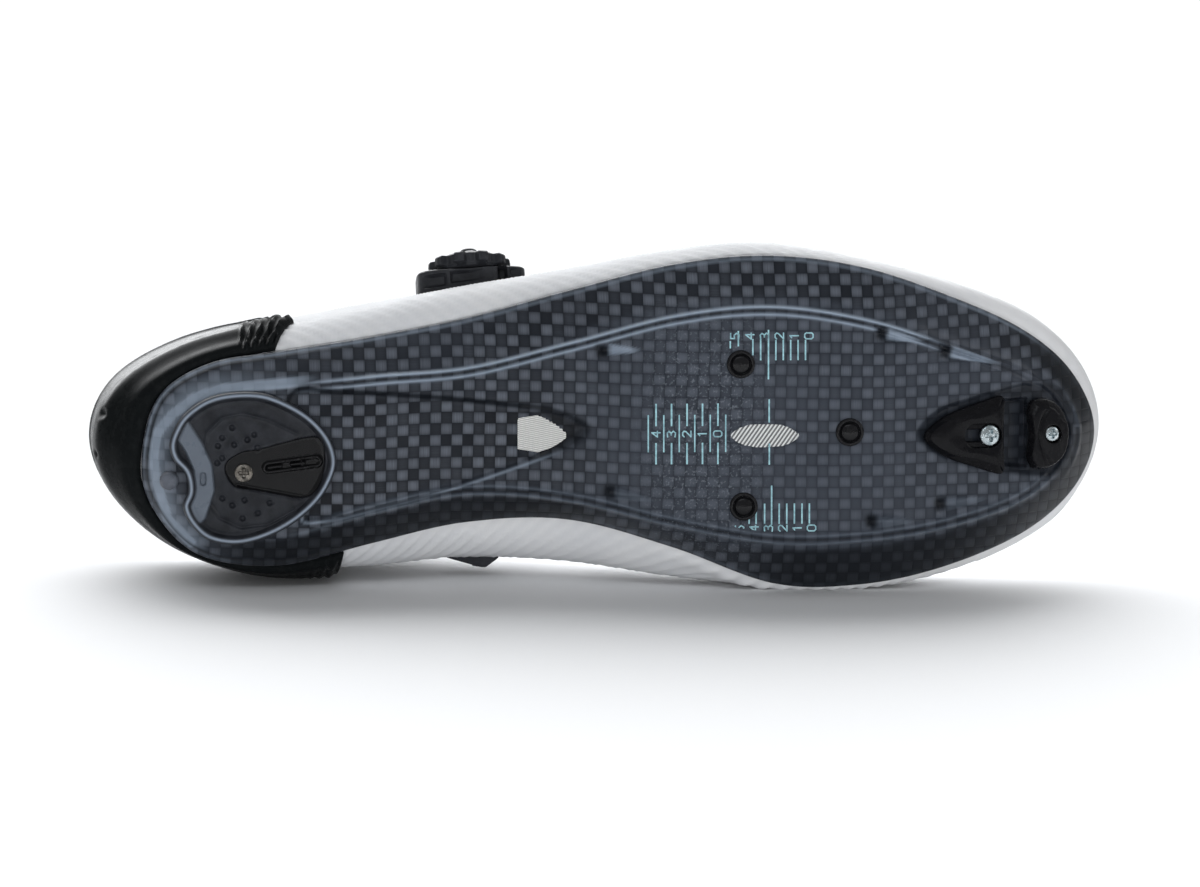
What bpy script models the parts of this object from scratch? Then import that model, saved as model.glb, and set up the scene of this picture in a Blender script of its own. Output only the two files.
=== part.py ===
"""A road cycling shoe for the right foot, lying on its medial side.

The shoe is worked out in its own frame, in metres: along runs from the heel to the toe, side is
positive towards the lateral (outer) side, and height rises from the ground that the sole would
stand on. Each piece is a mesh in that frame, and one empty lays the whole shoe on its side.
"""

import math

import bmesh
import bpy
import numpy as np
from mathutils import Matrix, Vector

MM = 0.001
GAP = 0.3 * MM

# Driving dimensions of the last
SHOE_LENGTH = 283.2 * MM
BALL_WIDTH = 95.3 * MM
INSTEP_HEIGHT = 88.0 * MM
COLLAR_HEIGHT = 75.0 * MM
BULGE_RISE = 16.0 * MM
THROAT_HALF_WIDTH = 13.0 * MM

# Upper, tongue and insole
WALL = 2.0 * MM
COLLAR_PAD = 3.6 * MM
FEATHER_LAP = 3.0 * MM
TONGUE_THICKNESS = 2.6 * MM
TONGUE_TUCK_DEG = 14.0
TONGUE_ROOM = 0.8 * MM
INSOLE_THICKNESS = 3.0 * MM

# Sole
HEEL_SEAT = 4.0 * MM
ARCH_HEIGHT = 12.0 * MM
RIM_RISE = 9.5 * MM
RIM_LIP = 1.7 * MM
RIM_LAND = 4.6 * MM
FLOOR_INSET = 8.4 * MM
PLATE_THICKNESS = 4.2 * MM
RIDGE_SIZE = 0.8 * MM
RIDGE_INSET = 13.6 * MM
TOE_RAMP_START = 0.749
TOE_RAMP_BLEND = 0.064
TOE_RAMP_DEG = 17.0
ARCH_RECESS_DEPTH = 1.8 * MM

# Counter
COUNTER_THICKNESS = 2.5 * MM
COUNTER_RIB = 0.8 * MM

# Small hardware
BOLT_RADIUS = 3.9 * MM
BOLT_HOLE_DEPTH = 2.4 * MM
BOLT_PROUD = 1.0 * MM
HEEL_PAD_LENGTH = 46.5 * MM
HEEL_PAD_WIDTH = 42.5 * MM
HEEL_SCREW_RADIUS = 2.5 * MM
TOE_SCREW_RADIUS = 3.0 * MM
TOE_SCREW_REACH = 19.54 * MM
BUMPER_SCREW_RADIUS = 2.2 * MM
BUMPER_SCREW_REACH = 38.2 * MM
CLEAT_VENT_HALF = (9.8 * MM, 3.0 * MM)
SLIDER_LENGTH = 24.2 * MM
SLIDER_THICKNESS = 3.0 * MM
SLIDER_TRAVEL = 4.7 * MM
VENT_GAP = 7.0 * MM
VENT_HALF_WIDTH = 5.0 * MM
BUMPER_LENGTH = 12.4 * MM
BUMPER_THICKNESS = 4.0 * MM
DIAL_RADIUS = 11.6 * MM
DIAL_HEIGHT = 6.4 * MM
DIAL_BASE_HEIGHT = 5.0 * MM
DIAL_BASE_HALF = (15.6 * MM, 9.0 * MM)
SEAT_ROOM = 0.5 * MM
STRAP_THICKNESS = 1.5 * MM
STRAP_ROOM = 0.45 * MM
LACE_DIAMETER = 1.2 * MM
LACE_ROOM = 1.2 * MM
LACE_LIFT = 1.4 * MM
LACE_SPREAD = 6.0 * MM
ANCHOR_THICKNESS = 3.2 * MM
ANCHOR_HALF = (7.2 * MM, 4.2 * MM)

# Places on the sole, as shares of SHOE_LENGTH and BALL_WIDTH
BOLT_PLACES = ((0.636, 0.203), (0.639, -0.210), (0.743, 0.004))
HEEL_PAD_PLACE = (0.1625, -0.099)
HEEL_SCREW_PLACE = (0.152, -0.105)
CLEAT_VENT_PLACE = (0.660, -0.005)
ARCH_VENT_PLACE = (0.447, -0.004)
SLIDER_TIP_ALONG = 0.816
TOE_AXIS_SIDE = -0.0126

# The rivet's place on the heel pad, as shares of the pad's half length and half width
HEEL_RIVET_PLACE = (-0.962, -0.13)

# Places on the upper: rows of the tables below, and heights as shares of INSTEP_HEIGHT
STRAP_ROWS = (4.78, 5.52)
STRAP_LATERAL_HEIGHT = 0.85
STRAP_MEDIAL_HEIGHT = 0.56
TOE_STRAP_ROWS = (6.30, 6.92)
TOE_STRAP_HEIGHT = 0.53
DIAL_ROW = 5.14
DIAL_SEAT_HEIGHT = 0.69
ANCHOR_ROW = 5.10
ANCHOR_SEAT_HEIGHT = 0.485
COUNTER_ROWS = (3.02, 3.72)
COUNTER_SLANT = 0.72
COUNTER_TOP = 0.80
COUNTER_FALL = 0.26

# Columns of the shoe's grid between two rows of the tables
COLUMNS_PER_ROW = 3

# The last: each row is one station from the heel's back to the toe's tip. Along is a share of
# SHOE_LENGTH, side of BALL_WIDTH, bulge of BULGE_RISE, ridge of INSTEP_HEIGHT, collar of
# COLLAR_HEIGHT and throat of THROAT_HALF_WIDTH. Fullness bends the wall: a low one is boxy.
# lateral along, side,  medial along, side,  spine along, side,  bulge, ridge, full, collar, throat
LAST = (
    (0.018, -0.031, 0.018, -0.031, 0.120, -0.047, 1.25, 1.40, 0.55, 1.000, 0.0),
    (0.038, 0.114, 0.038, -0.184, 0.131, -0.047, 1.20, 1.40, 0.55, 0.985, 0.0),
    (0.096, 0.221, 0.094, -0.320, 0.152, -0.052, 1.10, 1.40, 0.55, 0.925, 0.0),
    (0.177, 0.289, 0.177, -0.399, 0.187, -0.058, 1.02, 1.38, 0.55, 0.900, 0.0),
    (0.275, 0.349, 0.275, -0.395, 0.275, -0.021, 0.95, 1.20, 0.62, 1.030, 0.0),
    (0.374, 0.407, 0.374, -0.378, 0.374, 0.005, 0.95, 1.00, 0.85, 0.0, 1.00),
    (0.473, 0.458, 0.473, -0.388, 0.473, 0.021, 0.95, 0.87, 0.90, 0.0, 0.85),
    (0.572, 0.516, 0.572, -0.426, 0.572, 0.026, 0.90, 0.75, 0.90, 0.0, 0.55),
    (0.664, 0.540, 0.664, -0.454, 0.664, 0.031, 0.85, 0.65, 0.88, 0.0, 0.0),
    (0.759, 0.502, 0.759, -0.453, 0.756, 0.021, 0.80, 0.59, 0.85, 0.0, 0.0),
    (0.852, 0.427, 0.852, -0.408, 0.840, 0.010, 0.70, 0.56, 0.80, 0.0, 0.0),
    (0.935, 0.326, 0.934, -0.307, 0.897, 0.008, 0.60, 0.545, 0.78, 0.0, 0.0),
    (0.9875, 0.181, 0.9885, -0.173, 0.925, 0.007, 0.55, 0.535, 0.76, 0.0, 0.0),
    (1.0075, 0.005, 1.0075, 0.005, 0.936, 0.006, 0.55, 0.530, 0.76, 0.0, 0.0),
)

# The sole's edge at the same stations, with the distance of its raised line from the edge as a
# share of RIDGE_INSET, and the line's height as a share of RIDGE_SIZE.
# lateral along, side, inset,  medial along, side, inset,  ridge
SOLE = (
    (0.055, -0.068, 0.62, 0.055, -0.068, 0.62, 0.0),
    (0.072, 0.110, 0.62, 0.065, -0.210, 0.60, 0.0),
    (0.120, 0.203, 0.64, 0.109, -0.346, 0.60, 0.0),
    (0.187, 0.237, 0.66, 0.187, -0.380, 0.62, 0.0),
    (0.279, 0.278, 0.76, 0.279, -0.318, 0.64, 1.0),
    (0.374, 0.328, 0.97, 0.374, -0.264, 0.60, 1.0),
    (0.473, 0.409, 1.02, 0.473, -0.256, 0.40, 1.0),
    (0.572, 0.486, 1.00, 0.572, -0.332, 0.46, 1.0),
    (0.664, 0.512, 1.00, 0.671, -0.453, 0.88, 1.0),
    (0.756, 0.479, 1.03, 0.756, -0.461, 0.95, 1.0),
    (0.846, 0.391, 0.98, 0.846, -0.396, 0.84, 1.0),
    (0.924, 0.285, 0.78, 0.929, -0.299, 0.68, 0.6),
    (0.974, 0.160, 0.60, 0.981, -0.164, 0.60, 0.0),
    (0.998, -0.002, 0.56, 0.998, -0.002, 0.56, 0.0),
)

# First row of the table whose section is closed over the foot, less the throat's pointed end
CLOSED_FROM = 7 + 2 / COLUMNS_PER_ROW
LAST_ROW = len(LAST) - 1
LOOP_ROWS = 2 * LAST_ROW
COLUMNS = LOOP_ROWS * COLUMNS_PER_ROW

FOOT = bpy.data.collections.get("Collection") or bpy.context.scene.collection


def clear_scene():
    for obj in list(bpy.data.objects):
        bpy.data.objects.remove(obj, do_unlink=True)


def smooth(value, low, high):
    """A soft step from 0 at low to 1 at high."""
    share = np.clip((value - low) / (high - low), 0.0, 1.0)
    return share * share * (3.0 - 2.0 * share)


def around(lateral, medial):
    """One closed loop of rows: out along the lateral side, back along the medial one."""
    return np.vstack([lateral, medial[-2:0:-1]])


def loop_value(rows, position):
    """A closed Catmull-Rom curve through the rows, read at positions counted in rows."""
    count = len(rows)
    position = np.asarray(position, float)
    first = np.floor(position).astype(int)
    share = (position - first)[..., None]
    before, start, end, after = (rows[(first + step) % count] for step in (-1, 0, 1, 2))
    return 0.5 * (
        2 * start
        + (end - before) * share
        + (2 * before - 5 * start + 4 * end - after) * share**2
        + (3 * start - before - 3 * end + after) * share**3
    )


def bottom_line(along):
    """Height of the sole's underside along its middle: heel seat, arch, flat ball, straight ramp."""
    share = along / SHOE_LENGTH
    height = HEEL_SEAT + (ARCH_HEIGHT - HEEL_SEAT) * smooth(share, 0.25, 0.375)
    height = height - ARCH_HEIGHT * smooth(share, 0.385, 0.60)
    blend = np.clip(share - TOE_RAMP_START, 0.0, TOE_RAMP_BLEND)
    straight = np.maximum(share - TOE_RAMP_START - TOE_RAMP_BLEND, 0.0)
    rise = blend**2 / (2 * TOE_RAMP_BLEND) + straight
    return height + rise * SHOE_LENGTH * math.tan(math.radians(TOE_RAMP_DEG))


def last_tables():
    """The loops of the last and the sole in metres, with the angle at which each section opens."""
    last = np.array(LAST)
    sole = np.array(SOLE)
    size = np.array([SHOE_LENGTH, BALL_WIDTH])
    upper = around(last[:, 0:2], last[:, 2:4]) * size
    spine = around(last[:, 4:6], last[:, 4:6]) * size
    form = around(last[:, 6:11], last[:, 6:11])
    edge = around(sole[:, 0:2], sole[:, 3:5]) * size
    ridge_inset = around(sole[:, 2:3], sole[:, 5:6]) * RIDGE_INSET
    ridge_size = around(sole[:, 6:7], sole[:, 6:7]) * RIDGE_SIZE
    edge_height = bottom_line(edge[:, 0]) + RIM_RISE
    bulge_height = edge_height + form[:, 0] * BULGE_RISE
    crown = form[:, 1] * INSTEP_HEIGHT
    fullness = form[:, 2]
    rise = np.clip((form[:, 3] * COLLAR_HEIGHT - bulge_height) / (crown - bulge_height), 0, 1)
    collar_angle = np.arcsin(rise ** (1 / fullness))
    reach = np.linalg.norm(upper - spine, axis=1)
    throat_angle = np.arccos((form[:, 4] * THROAT_HALF_WIDTH / reach) ** (1 / fullness))
    opening = np.where(form[:, 3] > 0, collar_angle, throat_angle)
    columns = (upper, spine, edge, ridge_inset, ridge_size)
    columns += tuple(one[:, None] for one in (bulge_height, crown, fullness, opening))
    return np.hstack(columns)


TABLE = last_tables()


def station(position):
    """Every measure of the shoe at loop positions, as a dictionary of arrays."""
    row = loop_value(TABLE, position)
    found = {
        "upper": row[..., 0:2],
        "spine": row[..., 2:4],
        "edge": row[..., 4:6],
        "ridge_inset": row[..., 6],
        "ridge_size": row[..., 7],
        "bulge_height": row[..., 8],
        "crown": row[..., 9],
        "fullness": row[..., 10],
        "opening": np.clip(row[..., 11], 0.05, math.pi / 2),
    }
    found["edge_height"] = bottom_line(found["edge"][..., 0]) + RIM_RISE
    inward = found["spine"] - found["edge"]
    found["span"] = np.linalg.norm(inward, axis=-1)
    found["inward"] = inward / found["span"][..., None]
    return found


def joined(flat, height):
    """Points of the shoe's frame as along, height, side, which are the row's X, Y and Z."""
    return np.stack([flat[..., 0], height, flat[..., 1]], axis=-1)


def under_point(position, turn):
    """The upper's lower roll, from its feather edge on the sole (turn 0) to its widest line (1)."""
    at = station(position)
    feather = at["edge"] + at["inward"] * FEATHER_LAP
    seat = at["edge_height"] + GAP
    angle = np.asarray(turn) * math.pi / 2
    flat = feather + (at["upper"] - feather) * np.sin(angle)[..., None]
    return joined(flat, seat + (at["bulge_height"] - seat) * (1 - np.cos(angle)))


def over_point(position, angle):
    """The last above its widest line: angle 0 is that line, a quarter turn is the crown."""
    at = station(position)
    across = 1 - np.clip(np.cos(angle), 0, 1) ** at["fullness"]
    up = np.clip(np.sin(angle), 0, 1) ** at["fullness"]
    flat = at["upper"] + (at["spine"] - at["upper"]) * across[..., None]
    return joined(flat, at["bulge_height"] + (at["crown"] - at["bulge_height"]) * up)


def over_normal(position, angle):
    """Outward normal of the last above its widest line."""
    step = 0.02
    angle = np.clip(angle, step, math.pi / 2 - step)
    ahead = over_point(position + step, angle) - over_point(position - step, angle)
    up = over_point(position, angle + step) - over_point(position, angle - step)
    normal = np.cross(ahead, up)
    normal /= np.linalg.norm(normal, axis=-1)[..., None]
    out = over_point(position, np.zeros_like(angle)) - joined(
        station(position)["spine"], station(position)["bulge_height"]
    )
    flip = np.sign((normal * out).sum(-1) + normal[..., 1])
    return normal * flip[..., None]


def angle_at_height(position, height):
    """The angle of over_point at which the last reaches a height."""
    at = station(np.asarray(position, float))
    rise = np.clip((height - at["bulge_height"]) / (at["crown"] - at["bulge_height"]), 0, 1)
    return np.arcsin(rise ** (1 / at["fullness"]))


def material(name, colour, roughness, metallic=0.0):
    made = bpy.data.materials.get(name) or bpy.data.materials.new(name)
    made.use_nodes = True
    shader = made.node_tree.nodes["Principled BSDF"]
    shader.inputs["Base Color"].default_value = (*colour, 1.0)
    shader.inputs["Roughness"].default_value = roughness
    shader.inputs["Metallic"].default_value = metallic
    return made


def finishes():
    return {
        "white": material("white_upper", (0.82, 0.82, 0.84), 0.45),
        "carbon": material("carbon_sole", (0.03, 0.035, 0.045), 0.25),
        "gloss": material("black_gloss", (0.012, 0.012, 0.014), 0.2),
        "rubber": material("black_rubber", (0.02, 0.02, 0.022), 0.6),
        "cloth": material("grey_cloth", (0.25, 0.25, 0.27), 0.85),
        "mesh": material("grey_mesh", (0.55, 0.56, 0.57), 0.6),
        "zinc": material("zinc_screw", (0.55, 0.6, 0.62), 0.3, 1.0),
    }


def piece(name, points, faces, finish, smooth_below=35.0):
    """One closed mesh with its faces out, shaded smooth except at its sharp edges."""
    mesh = bpy.data.meshes.new(name)
    whole = []
    for face in faces:
        corners = [corner for i, corner in enumerate(face) if corner != face[i - 1]]
        if len(corners) > 2:
            whole.append(corners)
    mesh.from_pydata([tuple(map(float, point)) for point in points], [], whole)
    shell = bmesh.new()
    shell.from_mesh(mesh)
    loose = [vertex for vertex in shell.verts if not vertex.link_faces]
    bmesh.ops.delete(shell, geom=loose, context="VERTS")
    bmesh.ops.triangulate(shell, faces=shell.faces, quad_method="SHORT_EDGE")
    bmesh.ops.recalc_face_normals(shell, faces=shell.faces)
    if shell.calc_volume(signed=True) < 0:
        bmesh.ops.reverse_faces(shell, faces=shell.faces)
    shell.to_mesh(mesh)
    shell.free()
    mesh.materials.append(finish)
    mesh.shade_smooth()
    mesh.set_sharp_from_angle(angle=math.radians(smooth_below))
    obj = bpy.data.objects.new(name, mesh)
    FOOT.objects.link(obj)
    return obj


def carve(target, cutter):
    """Cuts a hidden solid out of a piece."""
    cutter.hide_render = True
    cutter.display_type = "WIRE"
    cut = target.modifiers.new(cutter.name, "BOOLEAN")
    cut.operation = "DIFFERENCE"
    cut.solver = "EXACT"
    cut.object = cutter


def zipped_shell(name, sections, finish):
    """A solid from closed sections of a loop, whose two ends are shared by mirrored columns."""
    count, last = len(sections), len(sections[0]) - 1

    def corner(column, step):
        column %= count
        if step in (0, last) and column > count / 2:
            column = count - column
        return column * (last + 1) + step

    faces = [
        (corner(k, m), corner(k + 1, m), corner(k + 1, m + 1), corner(k, m + 1))
        for k in range(count)
        for m in range(last)
    ]
    return piece(name, np.vstack(sections), faces, finish)


def sheet_solid(name, outer, inner, finish):
    """A solid between two grids of the same size, closed round its four sides."""
    rows, across = outer.shape[:2]

    def corner(layer, row, step):
        return layer * rows * across + row * across + step

    faces = []
    for layer in (0, 1):
        for row in range(rows - 1):
            for step in range(across - 1):
                faces.append(
                    (
                        corner(layer, row, step),
                        corner(layer, row + 1, step),
                        corner(layer, row + 1, step + 1),
                        corner(layer, row, step + 1),
                    )
                )
    rim = [(row, 0) for row in range(rows)]
    rim += [(rows - 1, step) for step in range(1, across)]
    rim += [(row, across - 1) for row in range(rows - 2, -1, -1)]
    rim += [(0, step) for step in range(across - 2, 0, -1)]
    for i, here in enumerate(rim):
        there = rim[(i + 1) % len(rim)]
        faces.append((corner(0, *here), corner(0, *there), corner(1, *there), corner(1, *here)))
    return piece(name, np.vstack([outer.reshape(-1, 3), inner.reshape(-1, 3)]), faces, finish)


def turned(name, profile, centre, axis, finish, sides=24, smooth_below=35.0):
    """A solid turned about an axis from (radius, height) pairs that run from axis to axis."""
    axis = Vector(axis).normalized()
    across = axis.orthogonal().normalized()
    third = axis.cross(across)
    points, faces = [], []
    for radius, height in profile:
        for i in range(sides):
            turn = 2 * math.pi * i / sides
            spoke = across * math.cos(turn) + third * math.sin(turn)
            points.append(Vector(centre) + axis * height + spoke * radius)
    for ring in range(len(profile) - 1):
        for i in range(sides):
            a, b = ring * sides + i, ring * sides + (i + 1) % sides
            faces.append((a, b, b + sides, a + sides))
    faces.append(tuple(range(sides)))
    faces.append(tuple(range((len(profile) - 1) * sides, len(profile) * sides)))
    return piece(name, points, faces, finish, smooth_below)


def prism(name, outline, lower, upper, finish, smooth_below=35.0):
    """A solid over an outline of (along, side) points, between two height functions."""
    flat = np.array(outline)
    count = len(flat)
    low = joined(flat, np.broadcast_to(lower(flat[:, 0]), count))
    high = joined(flat, np.broadcast_to(upper(flat[:, 0]), count))
    faces = [(i, (i + 1) % count, (i + 1) % count + count, i + count) for i in range(count)]
    faces += [tuple(range(count)), tuple(range(count, 2 * count))]
    return piece(name, np.vstack([low, high]), faces, finish, smooth_below)


def ellipse(centre, half_along, half_side, sides=32):
    turn = np.arange(sides) * 2 * math.pi / sides
    return np.stack(
        [centre[0] + half_along * np.cos(turn), centre[1] + half_side * np.sin(turn)], axis=1
    )


def mirrored_outline(half):
    """An outline about side 0 from half of its points, given from tip to tail."""
    half = [tuple(point) for point in half]
    back = [(along, -side) for along, side in reversed(half) if side > 0]
    return half + back


def shared(along, side):
    """A place on the sole given as shares of its length and ball width."""
    return np.array([along * SHOE_LENGTH, side * BALL_WIDTH])


def upper_normals(grid):
    """Outward normals of the upper's closed loop of columns."""
    ahead = np.roll(grid, -1, axis=0) - np.roll(grid, 1, axis=0)
    up = np.gradient(grid, axis=1)
    normal = np.cross(ahead, up)
    normal /= np.linalg.norm(normal, axis=-1)[..., None]
    closed = closed_columns()
    mirror = (COLUMNS - closed) % COLUMNS
    mean = normal[closed, -1] + normal[mirror, -1]
    normal[closed, -1] = mean / np.linalg.norm(mean, axis=-1)[..., None]
    return normal


def closed_columns():
    first = round(CLOSED_FROM * COLUMNS_PER_ROW)
    return np.arange(first, COLUMNS - first + 1)


def make_upper(finish):
    """The hollow upper: one wall from feather edge to collar, throat and closed vamp."""
    position = np.arange(COLUMNS) / COLUMNS_PER_ROW
    turns = np.linspace(0, 1, 4)
    climbs = np.linspace(0, 1, 9)[1:]
    opening = station(position)["opening"].copy()
    opening[closed_columns()] = math.pi / 2
    under = [under_point(position, np.full(COLUMNS, turn)) for turn in turns]
    power = 1 / station(position)["fullness"]
    over = [over_point(position, opening * climb**power) for climb in climbs]
    outer = np.stack(under + over, axis=1)
    steps = outer.shape[1]
    near_heel = np.minimum(position, LOOP_ROWS - position)
    padded = (1 - smooth(near_heel, 2.9, 4.2))[:, None]
    swell = np.interp(climbs, [0.0, 0.55, 0.85, 0.94, 1.0], [0, 0, 0.9, 1, 0.35])
    swell = np.concatenate([np.zeros(len(turns)), swell])[None, :]
    wall = WALL + COLLAR_PAD * padded * swell
    inner = outer - upper_normals(outer) * wall[..., None]

    closed = set(closed_columns().tolist())

    def corner(layer, column, step):
        column %= COLUMNS
        if step == steps - 1 and column in closed and column > COLUMNS // 2:
            column = COLUMNS - column
        return (layer * COLUMNS + column) * steps + step

    faces = []
    for layer in (0, 1):
        for k in range(COLUMNS):
            for m in range(steps - 1):
                faces.append(
                    (
                        corner(layer, k, m),
                        corner(layer, k + 1, m),
                        corner(layer, k + 1, m + 1),
                        corner(layer, k, m + 1),
                    )
                )
    for k in range(COLUMNS):
        ends = [0]
        if not {k, (k + 1) % COLUMNS} <= closed:
            ends.append(steps - 1)
        for m in ends:
            faces.append((corner(0, k, m), corner(0, k + 1, m), corner(1, k + 1, m), corner(1, k, m)))
    points = np.vstack([outer.reshape(-1, 3), inner.reshape(-1, 3)])
    return piece("upper", points, faces, finish)


def sole_sections(position):
    """Sections of the sole from its middle, under the rim and back over its dished top."""
    at = station(position)
    depth = at["ridge_inset"]

    def point(distance, height):
        flat = at["edge"] + at["inward"] * np.broadcast_to(distance, depth.shape)[..., None]
        return joined(flat, height(flat[..., 0]) if callable(height) else height)

    def flank(share):
        low = bottom_line(at["edge"][..., 0])
        lip = at["edge_height"] - RIM_LIP - low
        return lambda along: bottom_line(along) + lip * (1 - share) ** 1.3

    def line(drop):
        return lambda along: bottom_line(along) - drop * at["ridge_size"]

    def floor(along):
        return bottom_line(along) + PLATE_THICKNESS

    under = [
        point(at["span"], bottom_line),
        point(depth + 3.2 * MM, bottom_line),
        point(depth + 2.2 * MM, line(0.8)),
        point(depth + 1.2 * MM, line(0.1)),
        point(depth, line(1.0)),
        point(depth - 1.0 * MM, flank(0.93)),
        point(depth * 0.6, flank(0.6)),
        point(depth * 0.25, flank(0.25)),
        point(depth * 0.0, at["edge_height"] - RIM_LIP),
    ]
    over = [
        point(depth * 0.0, at["edge_height"]),
        point(RIM_LAND, at["edge_height"]),
        point(FLOOR_INSET, floor),
        point(at["span"], floor),
    ]
    return np.stack(under + over, axis=1)


def make_outsole(finish):
    position = np.arange(COLUMNS) / COLUMNS_PER_ROW
    sole = zipped_shell("outsole", sole_sections(position), finish)
    for i, place in enumerate(BOLT_PLACES):
        centre = shared(*place)
        profile = [
            (BOLT_RADIUS + GAP, -2 * MM),
            (BOLT_RADIUS + GAP, BOLT_HOLE_DEPTH),
        ]
        seat = (centre[0], bottom_line(centre[0]), centre[1])
        carve(sole, turned(f"cut_bolt_{i}", profile, seat, (0, 1, 0), finish))
    carve(sole, arch_recess(finish))
    carve(sole, vent_cutter("cut_cleat_vent", cleat_vent_outline(GAP), finish))
    carve(sole, vent_cutter("cut_arch_vent", arch_vent_outline(GAP), finish))
    carve(sole, vent_cutter("cut_toe_vent", toe_vent_outline(), finish))
    for name, reach, radius in (
        ("toe", TOE_SCREW_REACH, TOE_SCREW_RADIUS),
        ("bumper", BUMPER_SCREW_REACH, BUMPER_SCREW_RADIUS),
    ):
        carve(sole, ramp_turned(f"cut_{name}_screw", reach, screw_hole(radius), finish))
    heel = shared(*HEEL_SCREW_PLACE)
    seat = (heel[0], bottom_line(heel[0]), heel[1])
    hole = screw_hole(HEEL_SCREW_RADIUS)
    carve(sole, turned("cut_heel_screw", hole, seat, (0, 1, 0), finish))
    return sole


def screw_hole(radius):
    return [(radius * 0.55 + GAP, -1 * MM), (radius * 0.55 + GAP, 2.4 * MM)]


def screw_profile(radius, head_low, head_high):
    """A domed screw: a stem up into the sole and a head under what it holds."""
    return [
        (radius * 0.45, 2.0 * MM),
        (radius * 0.45, head_high),
        (radius, head_high),
        (radius, head_low + radius * 0.22),
        (radius * 0.7, head_low + radius * 0.06),
        (radius * 0.3, head_low),
    ]


def arch_recess(finish):
    """The lens-shaped hollow under the arch, from the heel pad to its point at the arch vent."""
    # along and side of its outline, as shares of SHOE_LENGTH and BALL_WIDTH
    lens = (
        (0.246, 0.116),
        (0.290, 0.121),
        (0.360, 0.106),
        (0.428, 0.088),
        (0.466, 0.060),
        (0.489, 0.000),
        (0.466, -0.052),
        (0.393, -0.127),
        (0.322, -0.190),
        (0.262, -0.232),
    )
    outline = [shared(*place) for place in lens]
    dense = []
    for i, here in enumerate(outline):
        there = outline[(i + 1) % len(outline)]
        dense += [here + (there - here) * share for share in (0.0, 0.5)]
    return prism(
        "cut_arch_recess",
        dense,
        lambda along: bottom_line(along) - 3 * MM,
        lambda along: bottom_line(along) + ARCH_RECESS_DEPTH,
        finish,
    )


def cleat_vent_outline(room):
    """A lens with pointed ends between the cleat bolts."""
    centre = shared(*CLEAT_VENT_PLACE)
    share = np.linspace(-1, 1, 9)
    half = (CLEAT_VENT_HALF[1] + room) * (1 - np.abs(share) ** 3) + 0.3 * MM
    along = centre[0] + share * (CLEAT_VENT_HALF[0] + room)
    top = np.stack([along, centre[1] + half], axis=1)
    low = np.stack([along[::-1], centre[1] - half[::-1]], axis=1)
    return np.vstack([top, low])


def arch_vent_outline(room):
    """A rounded triangle in the point of the arch recess."""
    centre = shared(*ARCH_VENT_PLACE)
    # along and side from the centre, as shares of SHOE_LENGTH and BALL_WIDTH
    corners = (
        (-0.027, 0.044),
        (-0.006, 0.054),
        (0.018, 0.030),
        (0.026, 0.000),
        (0.018, -0.030),
        (-0.006, -0.054),
        (-0.027, -0.044),
    )
    flat = np.array([shared(*corner) for corner in corners])
    reach = np.linalg.norm(flat, axis=1)[:, None]
    return centre + flat * (1 + room / reach)


def toe_vent_outline():
    """The air inlet that the slider uncovers, just ahead of it."""
    start = slider_tail() + 2 * GAP
    end = bumper_front() - 2 * GAP
    low, high = (TOE_AXIS_SIDE * BALL_WIDTH + sign * VENT_HALF_WIDTH for sign in (-1, 1))
    return [(start, low), (end, low), (end, high), (start, high)]


def vent_cutter(name, outline, finish):
    return prism(
        name,
        outline,
        lambda along: bottom_line(along) - 3 * MM,
        lambda along: bottom_line(along) + PLATE_THICKNESS + 3 * MM,
        finish,
    )


def make_vent_grids(finish):
    """The two meshes that fill the vents in the plate."""
    prism(
        "cleat_vent_mesh",
        cleat_vent_outline(0.0),
        lambda along: bottom_line(along) + 0.6 * MM,
        lambda along: bottom_line(along) + PLATE_THICKNESS - 0.4 * MM,
        finish,
    )
    prism(
        "arch_vent_mesh",
        arch_vent_outline(0.0),
        lambda along: bottom_line(along) + ARCH_RECESS_DEPTH + 0.4 * MM,
        lambda along: bottom_line(along) + PLATE_THICKNESS - 0.3 * MM,
        finish,
    )


def make_cleat_plugs(finish):
    """Three domed plugs in the cleat's bolt holes."""
    for i, place in enumerate(BOLT_PLACES):
        centre = shared(*place)
        profile = [
            (BOLT_RADIUS * 0.8, BOLT_HOLE_DEPTH - GAP),
            (BOLT_RADIUS, BOLT_HOLE_DEPTH - GAP - 0.4 * MM),
            (BOLT_RADIUS, -BOLT_PROUD * 0.6),
            (BOLT_RADIUS * 0.86, -BOLT_PROUD),
            (BOLT_RADIUS * 0.66, -BOLT_PROUD * 0.7),
            (BOLT_RADIUS * 0.6, -BOLT_PROUD * 0.2),
            (BOLT_RADIUS * 0.45, -BOLT_PROUD * 0.9),
            (BOLT_RADIUS * 0.15, -BOLT_PROUD * 1.1),
        ]
        seat = (centre[0], bottom_line(centre[0]), centre[1])
        turned(f"cleat_plug_{i + 1}", profile, seat, (0, 1, 0), finish, 16)


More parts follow.
